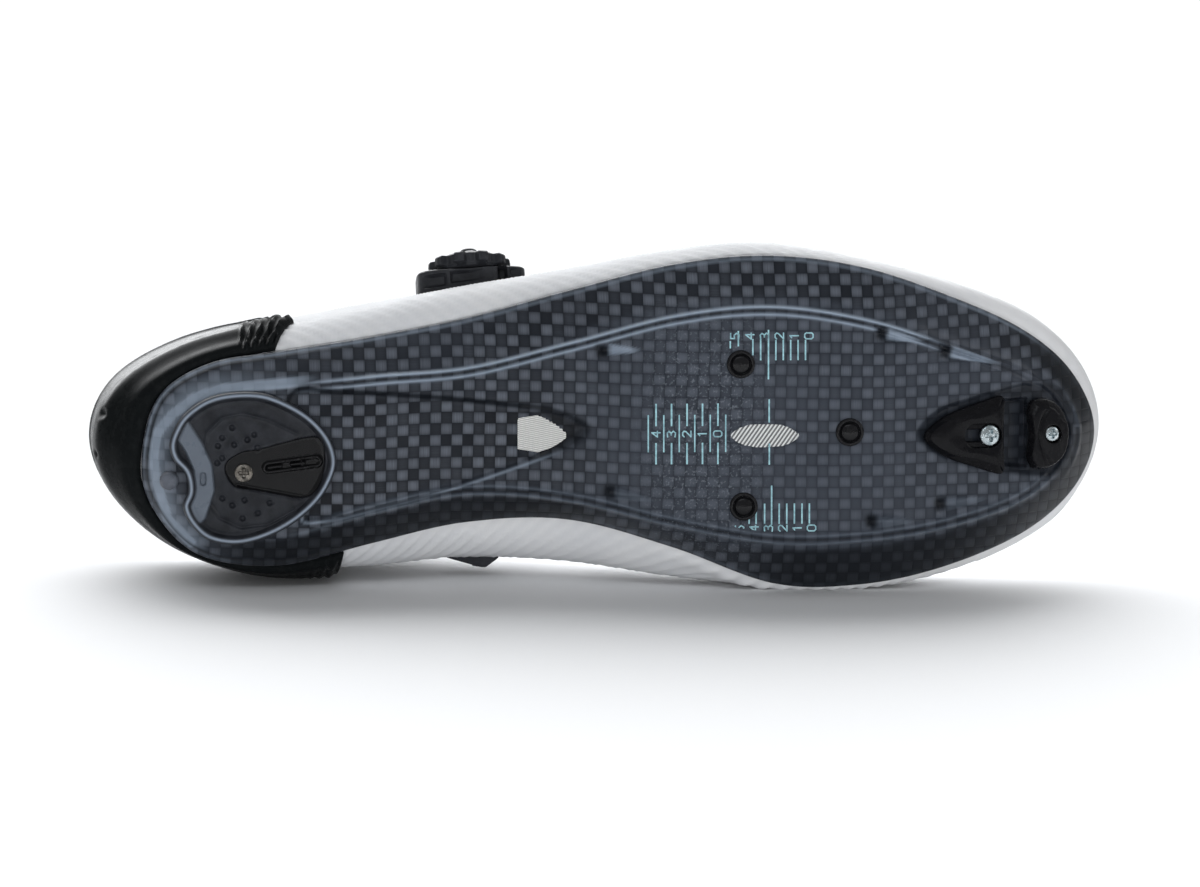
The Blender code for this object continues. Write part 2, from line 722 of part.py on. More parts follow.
def make_insole(finish):
    """The insole in the dish of the sole, with a raised edge round the heel."""
    position = np.arange(COLUMNS) / COLUMNS_PER_ROW
    at = station(position)
    near_heel = np.minimum(position, LOOP_ROWS - position)
    cup = 2.0 * MM * (1 - smooth(near_heel, 3.0, 6.0))
    start = FLOOR_INSET + 0.8 * MM

    def point(distance, lift):
        flat = at["edge"] + at["inward"] * np.broadcast_to(distance, at["span"].shape)[..., None]
        return joined(flat, bottom_line(flat[..., 0]) + PLATE_THICKNESS + lift)

    sections = [
        point(at["span"], GAP),
        point(start + 3 * MM, GAP),
        point(start, GAP + 0.4 * MM),
        point(start - 0.4 * MM, GAP + INSOLE_THICKNESS + cup),
        point(start + 3 * MM, GAP + INSOLE_THICKNESS + cup * 0.3),
        point(at["span"], GAP + INSOLE_THICKNESS),
    ]
    return zipped_shell("insole", np.stack(sections, axis=1), finish)


def cross_strip(name, stations, medial_angle, lateral_angle, low, high, finish, steps=17):
    """A strip over the instep, between two offsets from the last's surface."""
    share = np.linspace(-1, 1, steps)
    grids = []
    for offset in (high, low):
        rows = []
        for i, at_row in enumerate(stations):
            start, end = medial_angle[i], lateral_angle[i]
            angle = np.where(
                share < 0,
                math.pi / 2 + (math.pi / 2 - start) * share,
                math.pi / 2 - (math.pi / 2 - end) * share,
            )
            position = np.where(share < 0, LOOP_ROWS - at_row, at_row) * np.ones(steps)
            normal = over_normal(position, angle)
            middle = np.isclose(share, 0)
            flipped = over_normal(LOOP_ROWS - position[middle], angle[middle])
            normal[middle] = normal[middle] + flipped
            normal /= np.linalg.norm(normal, axis=-1)[..., None]
            rows.append(over_point(position, angle) + normal * offset)
        grids.append(np.stack(rows))
    return sheet_solid(name, grids[0], grids[1], finish)


def make_tongue(finish):
    """The tongue under the throat, tucked below both of its edges."""
    stations = np.linspace(4.15, 7.5, 11)
    tuck = math.radians(TONGUE_TUCK_DEG)
    narrow = 1 - smooth(stations, 4.3, 3.8) * 0.5
    lateral = np.maximum(station(stations)["opening"] - tuck * narrow, 0.5)
    medial = np.maximum(station(LOOP_ROWS - stations)["opening"] - tuck * narrow, 0.5)
    lateral = np.where(stations < 5, np.maximum(lateral, 0.95), lateral)
    medial = np.where(stations < 5, np.maximum(medial, 0.95), medial)
    top = -(WALL + TONGUE_ROOM)
    cross_strip("tongue", stations, medial, lateral, top - TONGUE_THICKNESS, top, finish, 9)


def make_straps(finish):
    """The instep strap that the dial pulls, and the plain strap over the throat's lower end."""
    low, high = STRAP_ROOM, STRAP_ROOM + STRAP_THICKNESS
    rows = np.linspace(*STRAP_ROWS, 5)
    medial = angle_at_height(LOOP_ROWS - rows, STRAP_MEDIAL_HEIGHT * INSTEP_HEIGHT)
    lateral = angle_at_height(rows, STRAP_LATERAL_HEIGHT * INSTEP_HEIGHT)
    cross_strip("instep_strap", rows, medial, lateral, low, high, finish)
    rows = np.linspace(*TOE_STRAP_ROWS, 4)
    medial = angle_at_height(LOOP_ROWS - rows, TOE_STRAP_HEIGHT * INSTEP_HEIGHT)
    lateral = angle_at_height(rows, TOE_STRAP_HEIGHT * INSTEP_HEIGHT)
    cross_strip("toe_strap", rows, medial, lateral, low, high, finish)


def seat_on_last(position, height, offset):
    """A point on the last, the outward normal there and the direction towards the toe."""
    position = np.array([float(position)])
    angle = angle_at_height(position, height)
    normal = Vector(over_normal(position, angle)[0])
    point = Vector(over_point(position, angle)[0]) + normal * offset
    step = 0.05 if position[0] < LAST_ROW else -0.05
    level = angle_at_height(position + step, height)
    ahead = Vector(over_point(position + step, level)[0] - over_point(position, angle)[0])
    ahead = (ahead - normal * ahead.dot(normal)).normalized()
    return point, normal, ahead


def seated_block(name, row, height, half_along, half_up, thickness, finish):
    """A block whose underside follows the last and whose face is flat, with cut corners."""
    seat, normal, ahead = seat_on_last(row, height, SEAT_ROOM)
    row_length = (over_point(np.array([row + 0.5]), np.zeros(1)) - over_point(
        np.array([row - 0.5]), np.zeros(1)
    ))[0]
    row_length = float(np.linalg.norm(row_length))
    shares = np.array([-1.0, -0.86, -0.5, 0.0, 0.5, 0.86, 1.0])
    cut = np.array([0.62, 0.92, 1.0, 1.0, 1.0, 0.92, 0.62])
    ups = np.array([-1.0, -0.5, 0.0, 0.5, 1.0])
    slope = abs(normal.cross(ahead).y)
    low, high = [], []
    for share, narrow in zip(shares, cut):
        position = np.full(len(ups), row + share * half_along / row_length)
        angle = angle_at_height(position, height + ups * narrow * half_up * slope)
        under = over_point(position, angle) + over_normal(position, angle) * SEAT_ROOM
        lift = np.array([(Vector(point) - seat).dot(normal) for point in under])
        low.append(under)
        high.append(under + np.outer(thickness - lift, np.array(normal)))
    sheet_solid(name, np.stack(high), np.stack(low), finish)
    return seat, normal, ahead


def rounded_bar(half_length, half_width, corner, steps=4):
    """A rectangle with round corners, as a list of points."""
    outline = []
    for quarter, (sa, sb) in enumerate(((1, 1), (-1, 1), (-1, -1), (1, -1))):
        for i in range(steps + 1):
            turn = math.pi / 2 * (quarter + i / steps)
            a = sa * (half_length - corner) + corner * math.cos(turn)
            b = sb * (half_width - corner) + corner * math.sin(turn)
            outline.append((a, b))
    return outline


def make_dial(finish):
    """The lace dial on the lateral quarter: its bracket, and the knob that turns on it."""
    height = DIAL_SEAT_HEIGHT * INSTEP_HEIGHT
    seat, normal, ahead = seated_block(
        "dial_base", DIAL_ROW, height, *DIAL_BASE_HALF, DIAL_BASE_HEIGHT, finish["rubber"]
    )
    grip = DIAL_BASE_HEIGHT + GAP
    profile = [
        (DIAL_RADIUS * 0.72, grip),
        (DIAL_RADIUS * 0.97, grip + 1.2 * MM),
        (DIAL_RADIUS, grip + DIAL_HEIGHT * 0.45),
        (DIAL_RADIUS * 0.92, grip + DIAL_HEIGHT * 0.68),
        (DIAL_RADIUS * 0.55, grip + DIAL_HEIGHT * 0.86),
        (DIAL_RADIUS * 0.26, grip + DIAL_HEIGHT * 0.92),
        (DIAL_RADIUS * 0.22, grip + DIAL_HEIGHT * 1.1),
    ]
    turned("dial_knob", profile, seat, normal, finish["gloss"], 24)
    return seat, normal, ahead


def make_laces(seat, normal, ahead, finish):
    """Two short runs of lace from the dial's bracket up to the end of the instep strap."""
    third = normal.cross(ahead)
    up = third if third.y > 0 else -third
    strap_end = STRAP_LATERAL_HEIGHT * INSTEP_HEIGHT
    for name, shift in (("lace_front", LACE_SPREAD), ("lace_back", -LACE_SPREAD)):
        start = seat + ahead * shift + up * (DIAL_BASE_HALF[1] + LACE_ROOM) + normal * LACE_LIFT
        position = DIAL_ROW + shift / (0.099 * SHOE_LENGTH)
        end, end_normal, _ = seat_on_last(position, strap_end, STRAP_ROOM + STRAP_THICKNESS / 2)
        way = (end - start).normalized()
        end = end - way * (GAP + 0.15 * MM)
        profile = [(LACE_DIAMETER / 2, 0.0), (LACE_DIAMETER / 2, (end - start).length)]
        turned(name, profile, start, way, finish, 8)


def make_anchor(finish):
    """The strap's anchor on the medial side."""
    height = ANCHOR_SEAT_HEIGHT * INSTEP_HEIGHT
    place = LOOP_ROWS - ANCHOR_ROW
    seated_block("strap_anchor", place, height, *ANCHOR_HALF, ANCHOR_THICKNESS, finish)


def make_counter(finish):
    """The hard heel cup outside the upper, higher at the back. Its lateral front leans ahead up
    to the last's widest line, falls back above it, and carries ribs."""
    ends = COUNTER_ROWS
    lateral = np.linspace(0, ends[0], 21)
    medial = LOOP_ROWS - np.linspace(0, ends[1], 15)[:0:-1]
    position = np.concatenate([medial, lateral])
    near = np.where(position > LAST_ROW, LOOP_ROWS - position, position)
    end = np.where(position > LAST_ROW, ends[1], ends[0])
    share = near / end
    height = COLLAR_HEIGHT * (COUNTER_TOP - COUNTER_FALL * share**2)

    def leaning(climb):
        ahead = position + COUNTER_SLANT * climb * share**2
        return np.where(position < LAST_ROW, ahead, position)

    layers = []
    for outward in (COUNTER_THICKNESS, 0.0):
        rows = []
        for turn in np.linspace(0, 1, 4):
            place = leaning(0.4 * turn)
            at = station(place)
            reach = np.linalg.norm(at["upper"] - at["edge"] - at["inward"] * FEATHER_LAP, axis=-1)
            start = np.arcsin(np.clip((FEATHER_LAP + 1.2 * MM) / reach, 0, 0.95)) / (math.pi / 2)
            rows.append(under_point(place, start + (1 - start) * turn))
        for climb in np.linspace(0, 1, 7)[1:]:
            place = leaning(0.4 * (1 - climb))
            top = angle_at_height(place, height)
            rows.append(over_point(place, top * climb ** (1 / station(place)["fullness"])))
        grid = np.stack(rows, axis=1)
        ahead = np.gradient(grid, axis=0)
        up = np.gradient(grid, axis=1)
        normal = np.cross(up, ahead)
        normal /= np.linalg.norm(normal, axis=-1)[..., None]
        middle = joined(at["spine"], at["bulge_height"])[:, None, :]
        flip = np.sign((normal * (grid - middle)).sum(-1))[..., None]
        normal = normal * flip
        thickness = np.full(grid.shape[:2], GAP + 0.15 * MM)
        if outward:
            ribs = (position < LAST_ROW) * (near > 0.62 * ends[0]) * (np.arange(len(near)) % 2)
            edge = np.minimum(1.0, (1.04 - share) * 9)[:, None]
            climb = np.linspace(0, 1, grid.shape[1])[None, :]
            taper = np.minimum(1.0, np.minimum(climb * 4 + 0.45, (1 - climb) * 3 + 0.4))
            thickness = thickness + outward * (0.45 + 0.55 * edge) * taper
            thickness = thickness + COUNTER_RIB * ribs[:, None] * np.sin(math.pi * climb)
        layers.append(grid + normal * thickness[..., None])
    return sheet_solid("heel_counter", layers[0], layers[1], finish)


def make_heel_pad(finish):
    """The screwed-on heel pad: a raised oval ring round a sunken middle."""
    centre = shared(*HEEL_PAD_PLACE)
    seat = HEEL_SEAT - GAP
    # share of the pad's half sizes, and height
    rings = (
        (0.60, seat),
        (0.98, seat),
        (1.00, 1.6 * MM),
        (0.95, 0.3 * MM),
        (0.90, 0.0),
        (0.84, 0.2 * MM),
        (0.78, 1.5 * MM),
        (0.40, 1.5 * MM),
    )
    points, faces, sides = [], [], 28
    for share, height in rings:
        flat = ellipse(centre, share * HEEL_PAD_LENGTH / 2, share * HEEL_PAD_WIDTH / 2, sides)
        points.append(joined(flat, np.full(sides, height)))
    for ring in range(len(rings) - 1):
        for i in range(sides):
            a, b = ring * sides + i, ring * sides + (i + 1) % sides
            faces.append((a, b, b + sides, a + sides))
    faces.append(tuple(range(sides)))
    faces.append(tuple(range((len(rings) - 1) * sides, len(rings) * sides)))
    pad = piece("heel_pad", np.vstack(points), faces, finish["gloss"])
    rivet = centre + np.array(HEEL_RIVET_PLACE) * (HEEL_PAD_LENGTH / 2, HEEL_PAD_WIDTH / 2)
    for name, spot, radius in (
        ("screw", shared(*HEEL_SCREW_PLACE), HEEL_SCREW_RADIUS),
        ("rivet", rivet, HEEL_SCREW_RADIUS * 0.8),
    ):
        seat_point = (spot[0], HEEL_SEAT, spot[1])
        hole = [(radius + GAP, -9 * MM), (radius + GAP, 1 * MM)]
        carve(pad, turned(f"cut_heel_{name}", hole, seat_point, (0, 1, 0), finish["gloss"]))
        if name == "screw":
            shape = screw_profile(radius, 0.9 * MM - HEEL_SEAT, 2.4 * MM - HEEL_SEAT)
            turned("heel_screw", shape, seat_point, (0, 1, 0), finish["zinc"], 16)
        else:
            shape = [
                (radius, -GAP),
                (radius, 0.5 * MM - HEEL_SEAT),
                (radius * 0.8, 0.0 - HEEL_SEAT),
                (radius * 0.4, -0.2 * MM - HEEL_SEAT),
            ]
            turned("heel_rivet", shape, seat_point, (0, 1, 0), finish["gloss"], 16)
    return pad


def ramp_frame(reach=0.0):
    """A point of the toe ramp at a reach from the slider's tip, and the ramp's two directions."""
    along = SLIDER_TIP_ALONG * SHOE_LENGTH
    lean = math.radians(TOE_RAMP_DEG)
    ahead = Vector((math.cos(lean), math.sin(lean), 0))
    out = Vector((math.sin(lean), -math.cos(lean), 0))
    seat = Vector((along, float(bottom_line(np.float64(along))), TOE_AXIS_SIDE * BALL_WIDTH))
    return seat + ahead * reach, ahead, out


def ramp_turned(name, reach, profile, finish, sides=16):
    """A turned piece on the toe ramp, whose heights run up into the sole."""
    seat, _, out = ramp_frame(reach)
    return turned(name, profile, seat, -out, finish, sides)


def ramp_prism(name, outline, low, high, finish):
    """A plate on the toe ramp. Its outline is in distances from the slider's tip."""
    seat, ahead, out = ramp_frame()
    side = Vector((0, 0, 1))
    points = []
    for drop in (low, high):
        for along, across in outline:
            points.append(seat + ahead * along + side * across + out * drop)
    count = len(outline)
    faces = [(i, (i + 1) % count, (i + 1) % count + count, i + count) for i in range(count)]
    faces += [tuple(range(count)), tuple(range(count, 2 * count))]
    return piece(name, points, faces, finish)


def slider_tail():
    """Where the slider ends, measured along the shoe."""
    lean = math.cos(math.radians(TOE_RAMP_DEG))
    return SLIDER_TIP_ALONG * SHOE_LENGTH + SLIDER_LENGTH * lean


def bumper_front():
    lean = math.cos(math.radians(TOE_RAMP_DEG))
    return SLIDER_TIP_ALONG * SHOE_LENGTH + (SLIDER_LENGTH + VENT_GAP) * lean


def make_toe_hardware(finish):
    """The vent slider with its slot, the toe bumper, and the screws that hold them."""
    half = (
        (0.0, 0.0),
        (0.10 * SLIDER_LENGTH, 3.0 * MM),
        (0.24 * SLIDER_LENGTH, 5.4 * MM),
        (0.58 * SLIDER_LENGTH, 8.4 * MM),
        (0.94 * SLIDER_LENGTH, 11.0 * MM),
        (SLIDER_LENGTH, 10.4 * MM),
    )
    low, high = GAP, GAP + SLIDER_THICKNESS
    slider = ramp_prism("toe_vent_slider", mirrored_outline(half), low, high, finish["gloss"])
    room = TOE_SCREW_RADIUS + GAP
    middle = TOE_SCREW_REACH - SLIDER_TRAVEL / 2
    slot = [
        (middle + a, b) for a, b in rounded_bar(SLIDER_TRAVEL / 2 + room, room, room * 0.98, 5)
    ]
    carve(slider, ramp_prism("cut_slider_slot", slot, -1 * MM, high + 1 * MM, finish["gloss"]))
    head = screw_profile(TOE_SCREW_RADIUS, -high + 0.4 * MM, -GAP)
    ramp_turned("toe_vent_screw", TOE_SCREW_REACH, head, finish["zinc"])

    start = SLIDER_LENGTH + VENT_GAP
    half = (
        (start, 0.0),
        (start, 6.2 * MM),
        (start + 0.12 * BUMPER_LENGTH, 9.4 * MM),
        (start + 0.45 * BUMPER_LENGTH, 9.8 * MM),
        (start + 0.80 * BUMPER_LENGTH, 7.4 * MM),
        (start + 0.97 * BUMPER_LENGTH, 3.4 * MM),
        (start + BUMPER_LENGTH, 0.0),
    )
    high = GAP + BUMPER_THICKNESS
    bumper = ramp_prism("toe_bumper", mirrored_outline(half), GAP, high, finish["rubber"])
    hole = [(BUMPER_SCREW_RADIUS + GAP, -9 * MM), (BUMPER_SCREW_RADIUS + GAP, 1 * MM)]
    carve(bumper, ramp_turned("cut_bumper_hole", BUMPER_SCREW_REACH, hole, finish["rubber"]))
    head = screw_profile(BUMPER_SCREW_RADIUS, -high + 0.5 * MM, -GAP)
    ramp_turned("toe_bumper_screw", BUMPER_SCREW_REACH, head, finish["zinc"])


def body_points(objects):
    return [Vector(vertex.co) for obj in objects for vertex in obj.data.vertices]


def centre_of_mass(objects):
    """Volume-weighted centre of closed meshes."""
    total, moment = 0.0, Vector()
    for obj in objects:
        obj.data.calc_loop_triangles()
        for triangle in obj.data.loop_triangles:
            a, b, c = (obj.data.vertices[i].co for i in triangle.vertices)
            volume = a.dot(b.cross(c)) / 6
            total += volume
            moment += (a + b + c) / 4 * volume
    return moment / total


def resting_turn(objects):
    """The turn that lays the shoe on the face of its hull, medial side down, under its weight."""
    hull = bmesh.new()
    for point in body_points(objects):
        hull.verts.new(point)
    bmesh.ops.convex_hull(hull, input=hull.verts)
    centre = centre_of_mass(objects)
    best, found = -1.0, None
    for face in hull.faces:
        normal = face.normal
        if normal.dot(face.calc_center_median() - centre) < 0:
            normal = -normal
        if normal.z > -0.9:
            continue
        corners = [loop.vert.co for loop in face.loops]
        under = centre + normal * normal.dot(corners[0] - centre)
        inside = min(
            signed_reach(corners[i - 1], corners[i], under, face.calc_center_median())
            for i in range(len(corners))
        )
        if found is None or inside > best:
            best, found = inside, normal.copy()
    hull.free()
    return found.rotation_difference(Vector((0, 0, -1))).to_matrix().to_4x4()


def signed_reach(start, end, point, middle):
    """Distance of a point from an edge, positive on the side of the face's middle."""
    along = (end - start).normalized()
    inward = middle - start
    inward = (inward - along * inward.dot(along)).normalized()
    return (point - start).dot(inward)


def lay_down(pieces):
    """Parents every piece to one empty that rests the shoe on its medial side."""
    turn = resting_turn([obj for obj in pieces if not obj.hide_render])
    turned_points = [turn @ point for point in body_points(pieces)]
    low = Vector(min(point[i] for point in turned_points) for i in range(3))
    high = Vector(max(point[i] for point in turned_points) for i in range(3))
    shift = Vector((-(low.x + high.x) / 2, -(low.y + high.y) / 2, -low.z))
    rest = bpy.data.objects.new("shoe_rest", None)
    FOOT.objects.link(rest)
    rest.matrix_world = Matrix.Translation(shift) @ turn
    bpy.context.view_layer.update()
    for obj in pieces:
        obj.parent = rest
    for obj in list(bpy.data.objects):
        if obj.hide_render:
            obj.parent = rest
    bpy.context.view_layer.update()


def main():
    clear_scene()
    finish = finishes()
    make_upper(finish["white"])
    make_outsole(finish["carbon"])
    make_insole(finish["cloth"])
    make_tongue(finish["white"])
    make_counter(finish["gloss"])
    make_heel_pad(finish)
    make_vent_grids(finish["mesh"])
    make_cleat_plugs(finish["rubber"])
    make_toe_hardware(finish)
    make_straps(finish["white"])
    seat, normal, ahead = make_dial(finish)
    make_laces(seat, normal, ahead, finish["rubber"])
    make_anchor(finish["rubber"])
    lay_down([obj for obj in bpy.data.objects if obj.type == "MESH" and not obj.hide_render])


if __name__ == "__main__":
    main()
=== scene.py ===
import math

import bmesh
import bpy
import numpy as np
from mathutils import Matrix, Vector


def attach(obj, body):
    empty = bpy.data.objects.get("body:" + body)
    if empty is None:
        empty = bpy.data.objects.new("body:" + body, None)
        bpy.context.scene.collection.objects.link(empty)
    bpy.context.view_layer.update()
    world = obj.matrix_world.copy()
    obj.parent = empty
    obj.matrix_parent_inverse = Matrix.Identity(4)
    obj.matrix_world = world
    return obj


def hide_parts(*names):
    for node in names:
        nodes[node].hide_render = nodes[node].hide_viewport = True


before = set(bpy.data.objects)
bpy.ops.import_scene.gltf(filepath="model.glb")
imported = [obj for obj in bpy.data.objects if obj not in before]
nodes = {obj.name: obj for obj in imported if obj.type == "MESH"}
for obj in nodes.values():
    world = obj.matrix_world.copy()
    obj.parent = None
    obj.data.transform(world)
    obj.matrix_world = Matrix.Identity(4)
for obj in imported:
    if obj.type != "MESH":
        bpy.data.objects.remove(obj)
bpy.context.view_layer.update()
mm = 0.001
print("frame loaded")

# The shoe is worked out in its own frame: along (heel to toe), height (from the ground the sole
# would stand on) and side (positive towards the lateral edge). One turn and shift lay it down.
shoe = {
    "length": 283.2 * mm,
    "ballWidth": 95.3 * mm,
    "instepHeight": 88.0 * mm,
    "collarHeight": 75.0 * mm,
    "bulgeRise": 16.0 * mm,
    "throatHalfWidth": 13.0 * mm,
    "seam": 0.3 * mm,
    "heelSeat": 4.0 * mm,
    "archHeight": 12.0 * mm,
    "rimRise": 9.5 * mm,
    "rimLip": 1.7 * mm,
    "plate": 4.2 * mm,
    "featherLap": 3.0 * mm,
    "rampStart": 0.749,
    "rampBlend": 0.064,
    "rampDeg": 17.0,
    "ridgeSize": 0.8 * mm,
    "ridgeInset": 13.6 * mm,
    "restTurnDeg": (-4.067707, -0.376982, 0.013388),
    "restShift": (-0.1437519, -0.0487448, 0.0437978),
}

# Stations from the heel's back to the toe's tip, as shares of length, width and heights:
# lateral along, side,  medial along, side,  spine along, side,  bulge, ridge, full, collar, throat
lastRows = (
    (0.018, -0.031, 0.018, -0.031, 0.120, -0.047, 1.25, 1.40, 0.55, 1.000, 0.0),
    (0.038, 0.114, 0.038, -0.184, 0.131, -0.047, 1.20, 1.40, 0.55, 0.985, 0.0),
    (0.096, 0.221, 0.094, -0.320, 0.152, -0.052, 1.10, 1.40, 0.55, 0.925, 0.0),
    (0.177, 0.289, 0.177, -0.399, 0.187, -0.058, 1.02, 1.38, 0.55, 0.900, 0.0),
    (0.275, 0.349, 0.275, -0.395, 0.275, -0.021, 0.95, 1.20, 0.62, 1.030, 0.0),
    (0.374, 0.407, 0.374, -0.378, 0.374, 0.005, 0.95, 1.00, 0.85, 0.0, 1.00),
    (0.473, 0.458, 0.473, -0.388, 0.473, 0.021, 0.95, 0.87, 0.90, 0.0, 0.85),
    (0.572, 0.516, 0.572, -0.426, 0.572, 0.026, 0.90, 0.75, 0.90, 0.0, 0.55),
    (0.664, 0.540, 0.664, -0.454, 0.664, 0.031, 0.85, 0.65, 0.88, 0.0, 0.0),
    (0.759, 0.502, 0.759, -0.453, 0.756, 0.021, 0.80, 0.59, 0.85, 0.0, 0.0),
    (0.852, 0.427, 0.852, -0.408, 0.840, 0.010, 0.70, 0.56, 0.80, 0.0, 0.0),
    (0.935, 0.326, 0.934, -0.307, 0.897, 0.008, 0.60, 0.545, 0.78, 0.0, 0.0),
    (0.9875, 0.181, 0.9885, -0.173, 0.925, 0.007, 0.55, 0.535, 0.76, 0.0, 0.0),
    (1.0075, 0.005, 1.0075, 0.005, 0.936, 0.006, 0.55, 0.530, 0.76, 0.0, 0.0),
)

# The sole's edge at the same stations: lateral along, side, inset of the raised line,  the same
# three on the medial edge,  size of the line
soleRows = (
    (0.055, -0.068, 0.62, 0.055, -0.068, 0.62, 0.0),
    (0.072, 0.110, 0.62, 0.065, -0.210, 0.60, 0.0),
    (0.120, 0.203, 0.64, 0.109, -0.346, 0.60, 0.0),
    (0.187, 0.237, 0.66, 0.187, -0.380, 0.62, 0.0),
    (0.279, 0.278, 0.76, 0.279, -0.318, 0.64, 1.0),
    (0.374, 0.328, 0.97, 0.374, -0.264, 0.60, 1.0),
    (0.473, 0.409, 1.02, 0.473, -0.256, 0.40, 1.0),
    (0.572, 0.486, 1.00, 0.572, -0.332, 0.46, 1.0),
    (0.664, 0.512, 1.00, 0.671, -0.439, 0.86, 1.0),
    (0.756, 0.479, 1.03, 0.756, -0.445, 0.93, 1.0),
    (0.846, 0.391, 0.98, 0.846, -0.396, 0.84, 1.0),
    (0.924, 0.285, 0.78, 0.929, -0.299, 0.68, 0.6),
    (0.974, 0.160, 0.60, 0.981, -0.164, 0.60, 0.0),
    (0.998, -0.002, 0.56, 0.998, -0.002, 0.56, 0.0),
)

lastRow = len(lastRows) - 1
loopRows = 2 * lastRow


# A soft step: 0 below low, 1 above high, 3s^2 - 2s^3 between.
def softStep(value, low, high):
    share = np.clip((value - low) / (high - low), 0.0, 1.0)
    return share * share * (3 - 2 * share)


# A bell: e to the minus square of the offset over the width.
def bell(offset, width):
    return np.exp(-((offset / width) ** 2))


def joined(flat, height):
    return np.stack([flat[..., 0], np.broadcast_to(height, flat.shape[:-1]), flat[..., 1]], axis=-1)


def unit(vectors):
    return vectors / np.maximum(np.linalg.norm(vectors, axis=-1), 1e-12)[..., None]


# The sole's underside along its middle: heel seat, arch, flat ball, then a straight toe ramp
# that starts with a parabola.
def bottomLine(along):
    share = along / shoe["length"]
    height = shoe["heelSeat"] + (shoe["archHeight"] - shoe["heelSeat"]) * softStep(share, 0.25, 0.375)
    height = height - shoe["archHeight"] * softStep(share, 0.385, 0.60)
    blend = np.clip(share - shoe["rampStart"], 0.0, shoe["rampBlend"])
    straight = np.maximum(share - shoe["rampStart"] - shoe["rampBlend"], 0.0)
    rise = blend**2 / (2 * shoe["rampBlend"]) + straight
    return height + rise * shoe["length"] * math.tan(math.radians(shoe["rampDeg"]))


# One closed loop of rows: out along the lateral side and back along the medial one.
def loopOf(lateral, medial):
    return np.vstack([lateral, medial[-2:0:-1]])


# A closed Catmull-Rom curve through the rows, read at positions counted in rows.
def loopValue(rows, position):
    position = np.asarray(position, float)
    first = np.floor(position).astype(int)
    share = (position - first)[..., None]
    before, start, end, after = (rows[(first + step) % len(rows)] for step in (-1, 0, 1, 2))
    return 0.5 * (
        2 * start
        + (end - before) * share
        + (2 * before - 5 * start + 4 * end - after) * share**2
        + (3 * start - before - 3 * end + after) * share**3
    )


def tableOf():
    last, sole = np.array(lastRows), np.array(soleRows)
    size = np.array([shoe["length"], shoe["ballWidth"]])
    upper = loopOf(last[:, 0:2], last[:, 2:4]) * size
    spine = loopOf(last[:, 4:6], last[:, 4:6]) * size
    form = loopOf(last[:, 6:11], last[:, 6:11])
    edge = loopOf(sole[:, 0:2], sole[:, 3:5]) * size
    inset = loopOf(sole[:, 2:3], sole[:, 5:6]) * shoe["ridgeInset"]
    ridge = loopOf(sole[:, 6:7], sole[:, 6:7]) * shoe["ridgeSize"]
    bulge = bottomLine(edge[:, 0]) + shoe["rimRise"] + form[:, 0] * shoe["bulgeRise"]
    crown, full = form[:, 1] * shoe["instepHeight"], form[:, 2]
    rise = np.clip((form[:, 3] * shoe["collarHeight"] - bulge) / (crown - bulge), 0, 1)
    reach = np.linalg.norm(upper - spine, axis=1)
    throat = np.arccos((form[:, 4] * shoe["throatHalfWidth"] / reach) ** (1 / full))
    opening = np.where(form[:, 3] > 0, np.arcsin(rise ** (1 / full)), throat)
    single = [one[:, None] for one in (bulge, crown, full, opening)]
    return np.hstack([upper, spine, edge, inset, ridge] + single)


table = tableOf()


# Every measure of the shoe at loop positions.
def stationAt(position):
    row = loopValue(table, position)
    at = {"upper": row[..., 0:2], "spine": row[..., 2:4], "edge": row[..., 4:6]}
    at["inset"], at["ridge"], at["bulge"], at["crown"], at["full"] = (row[..., i] for i in range(6, 11))
    at["opening"] = np.clip(row[..., 11], 0.05, math.pi / 2)
    at["edgeHeight"] = bottomLine(at["edge"][..., 0]) + shoe["rimRise"]
    inward = at["spine"] - at["edge"]
    at["span"] = np.linalg.norm(inward, axis=-1)
    at["inward"] = inward / at["span"][..., None]
    return at


# The upper's lower roll: a quarter ellipse from its feather edge on the sole to its widest line.
def underPoint(position, turn):
    at = stationAt(position)
    feather = at["edge"] + at["inward"] * shoe["featherLap"]
    seat = at["edgeHeight"] + shoe["seam"]
    angle = np.asarray(turn) * math.pi / 2
    flat = feather + (at["upper"] - feather) * np.sin(angle)[..., None]
    return joined(flat, seat + (at["bulge"] - seat) * (1 - np.cos(angle)))


# The last above its widest line: a superellipse from that line (angle 0) to the crown.
def overPoint(position, angle):
    at = stationAt(position)
    across = 1 - np.clip(np.cos(angle), 0, 1) ** at["full"]
    up = np.clip(np.sin(angle), 0, 1) ** at["full"]
    flat = at["upper"] + (at["spine"] - at["upper"]) * across[..., None]
    return joined(flat, at["bulge"] + (at["crown"] - at["bulge"]) * up)


# The outward normal there: the cross product of a step ahead and a step up, turned outwards.
def overNormal(position, angle):
    step = 0.02
    angle = np.clip(angle, step, math.pi / 2 - step)
    ahead = overPoint(position + step, angle) - overPoint(position - step, angle)
    up = overPoint(position, angle + step) - overPoint(position, angle - step)
    normal = unit(np.cross(ahead, up))
    at = stationAt(position)
    out = overPoint(position, np.zeros_like(angle)) - joined(at["spine"], at["bulge"])
    return normal * np.sign((normal * out).sum(-1) + normal[..., 1])[..., None]


def angleAtHeight(position, height):
    at = stationAt(np.asarray(position, float))
    rise = np.clip((height - at["bulge"]) / (at["crown"] - at["bulge"]), 0, 1)
    return np.arcsin(rise ** (1 / at["full"]))


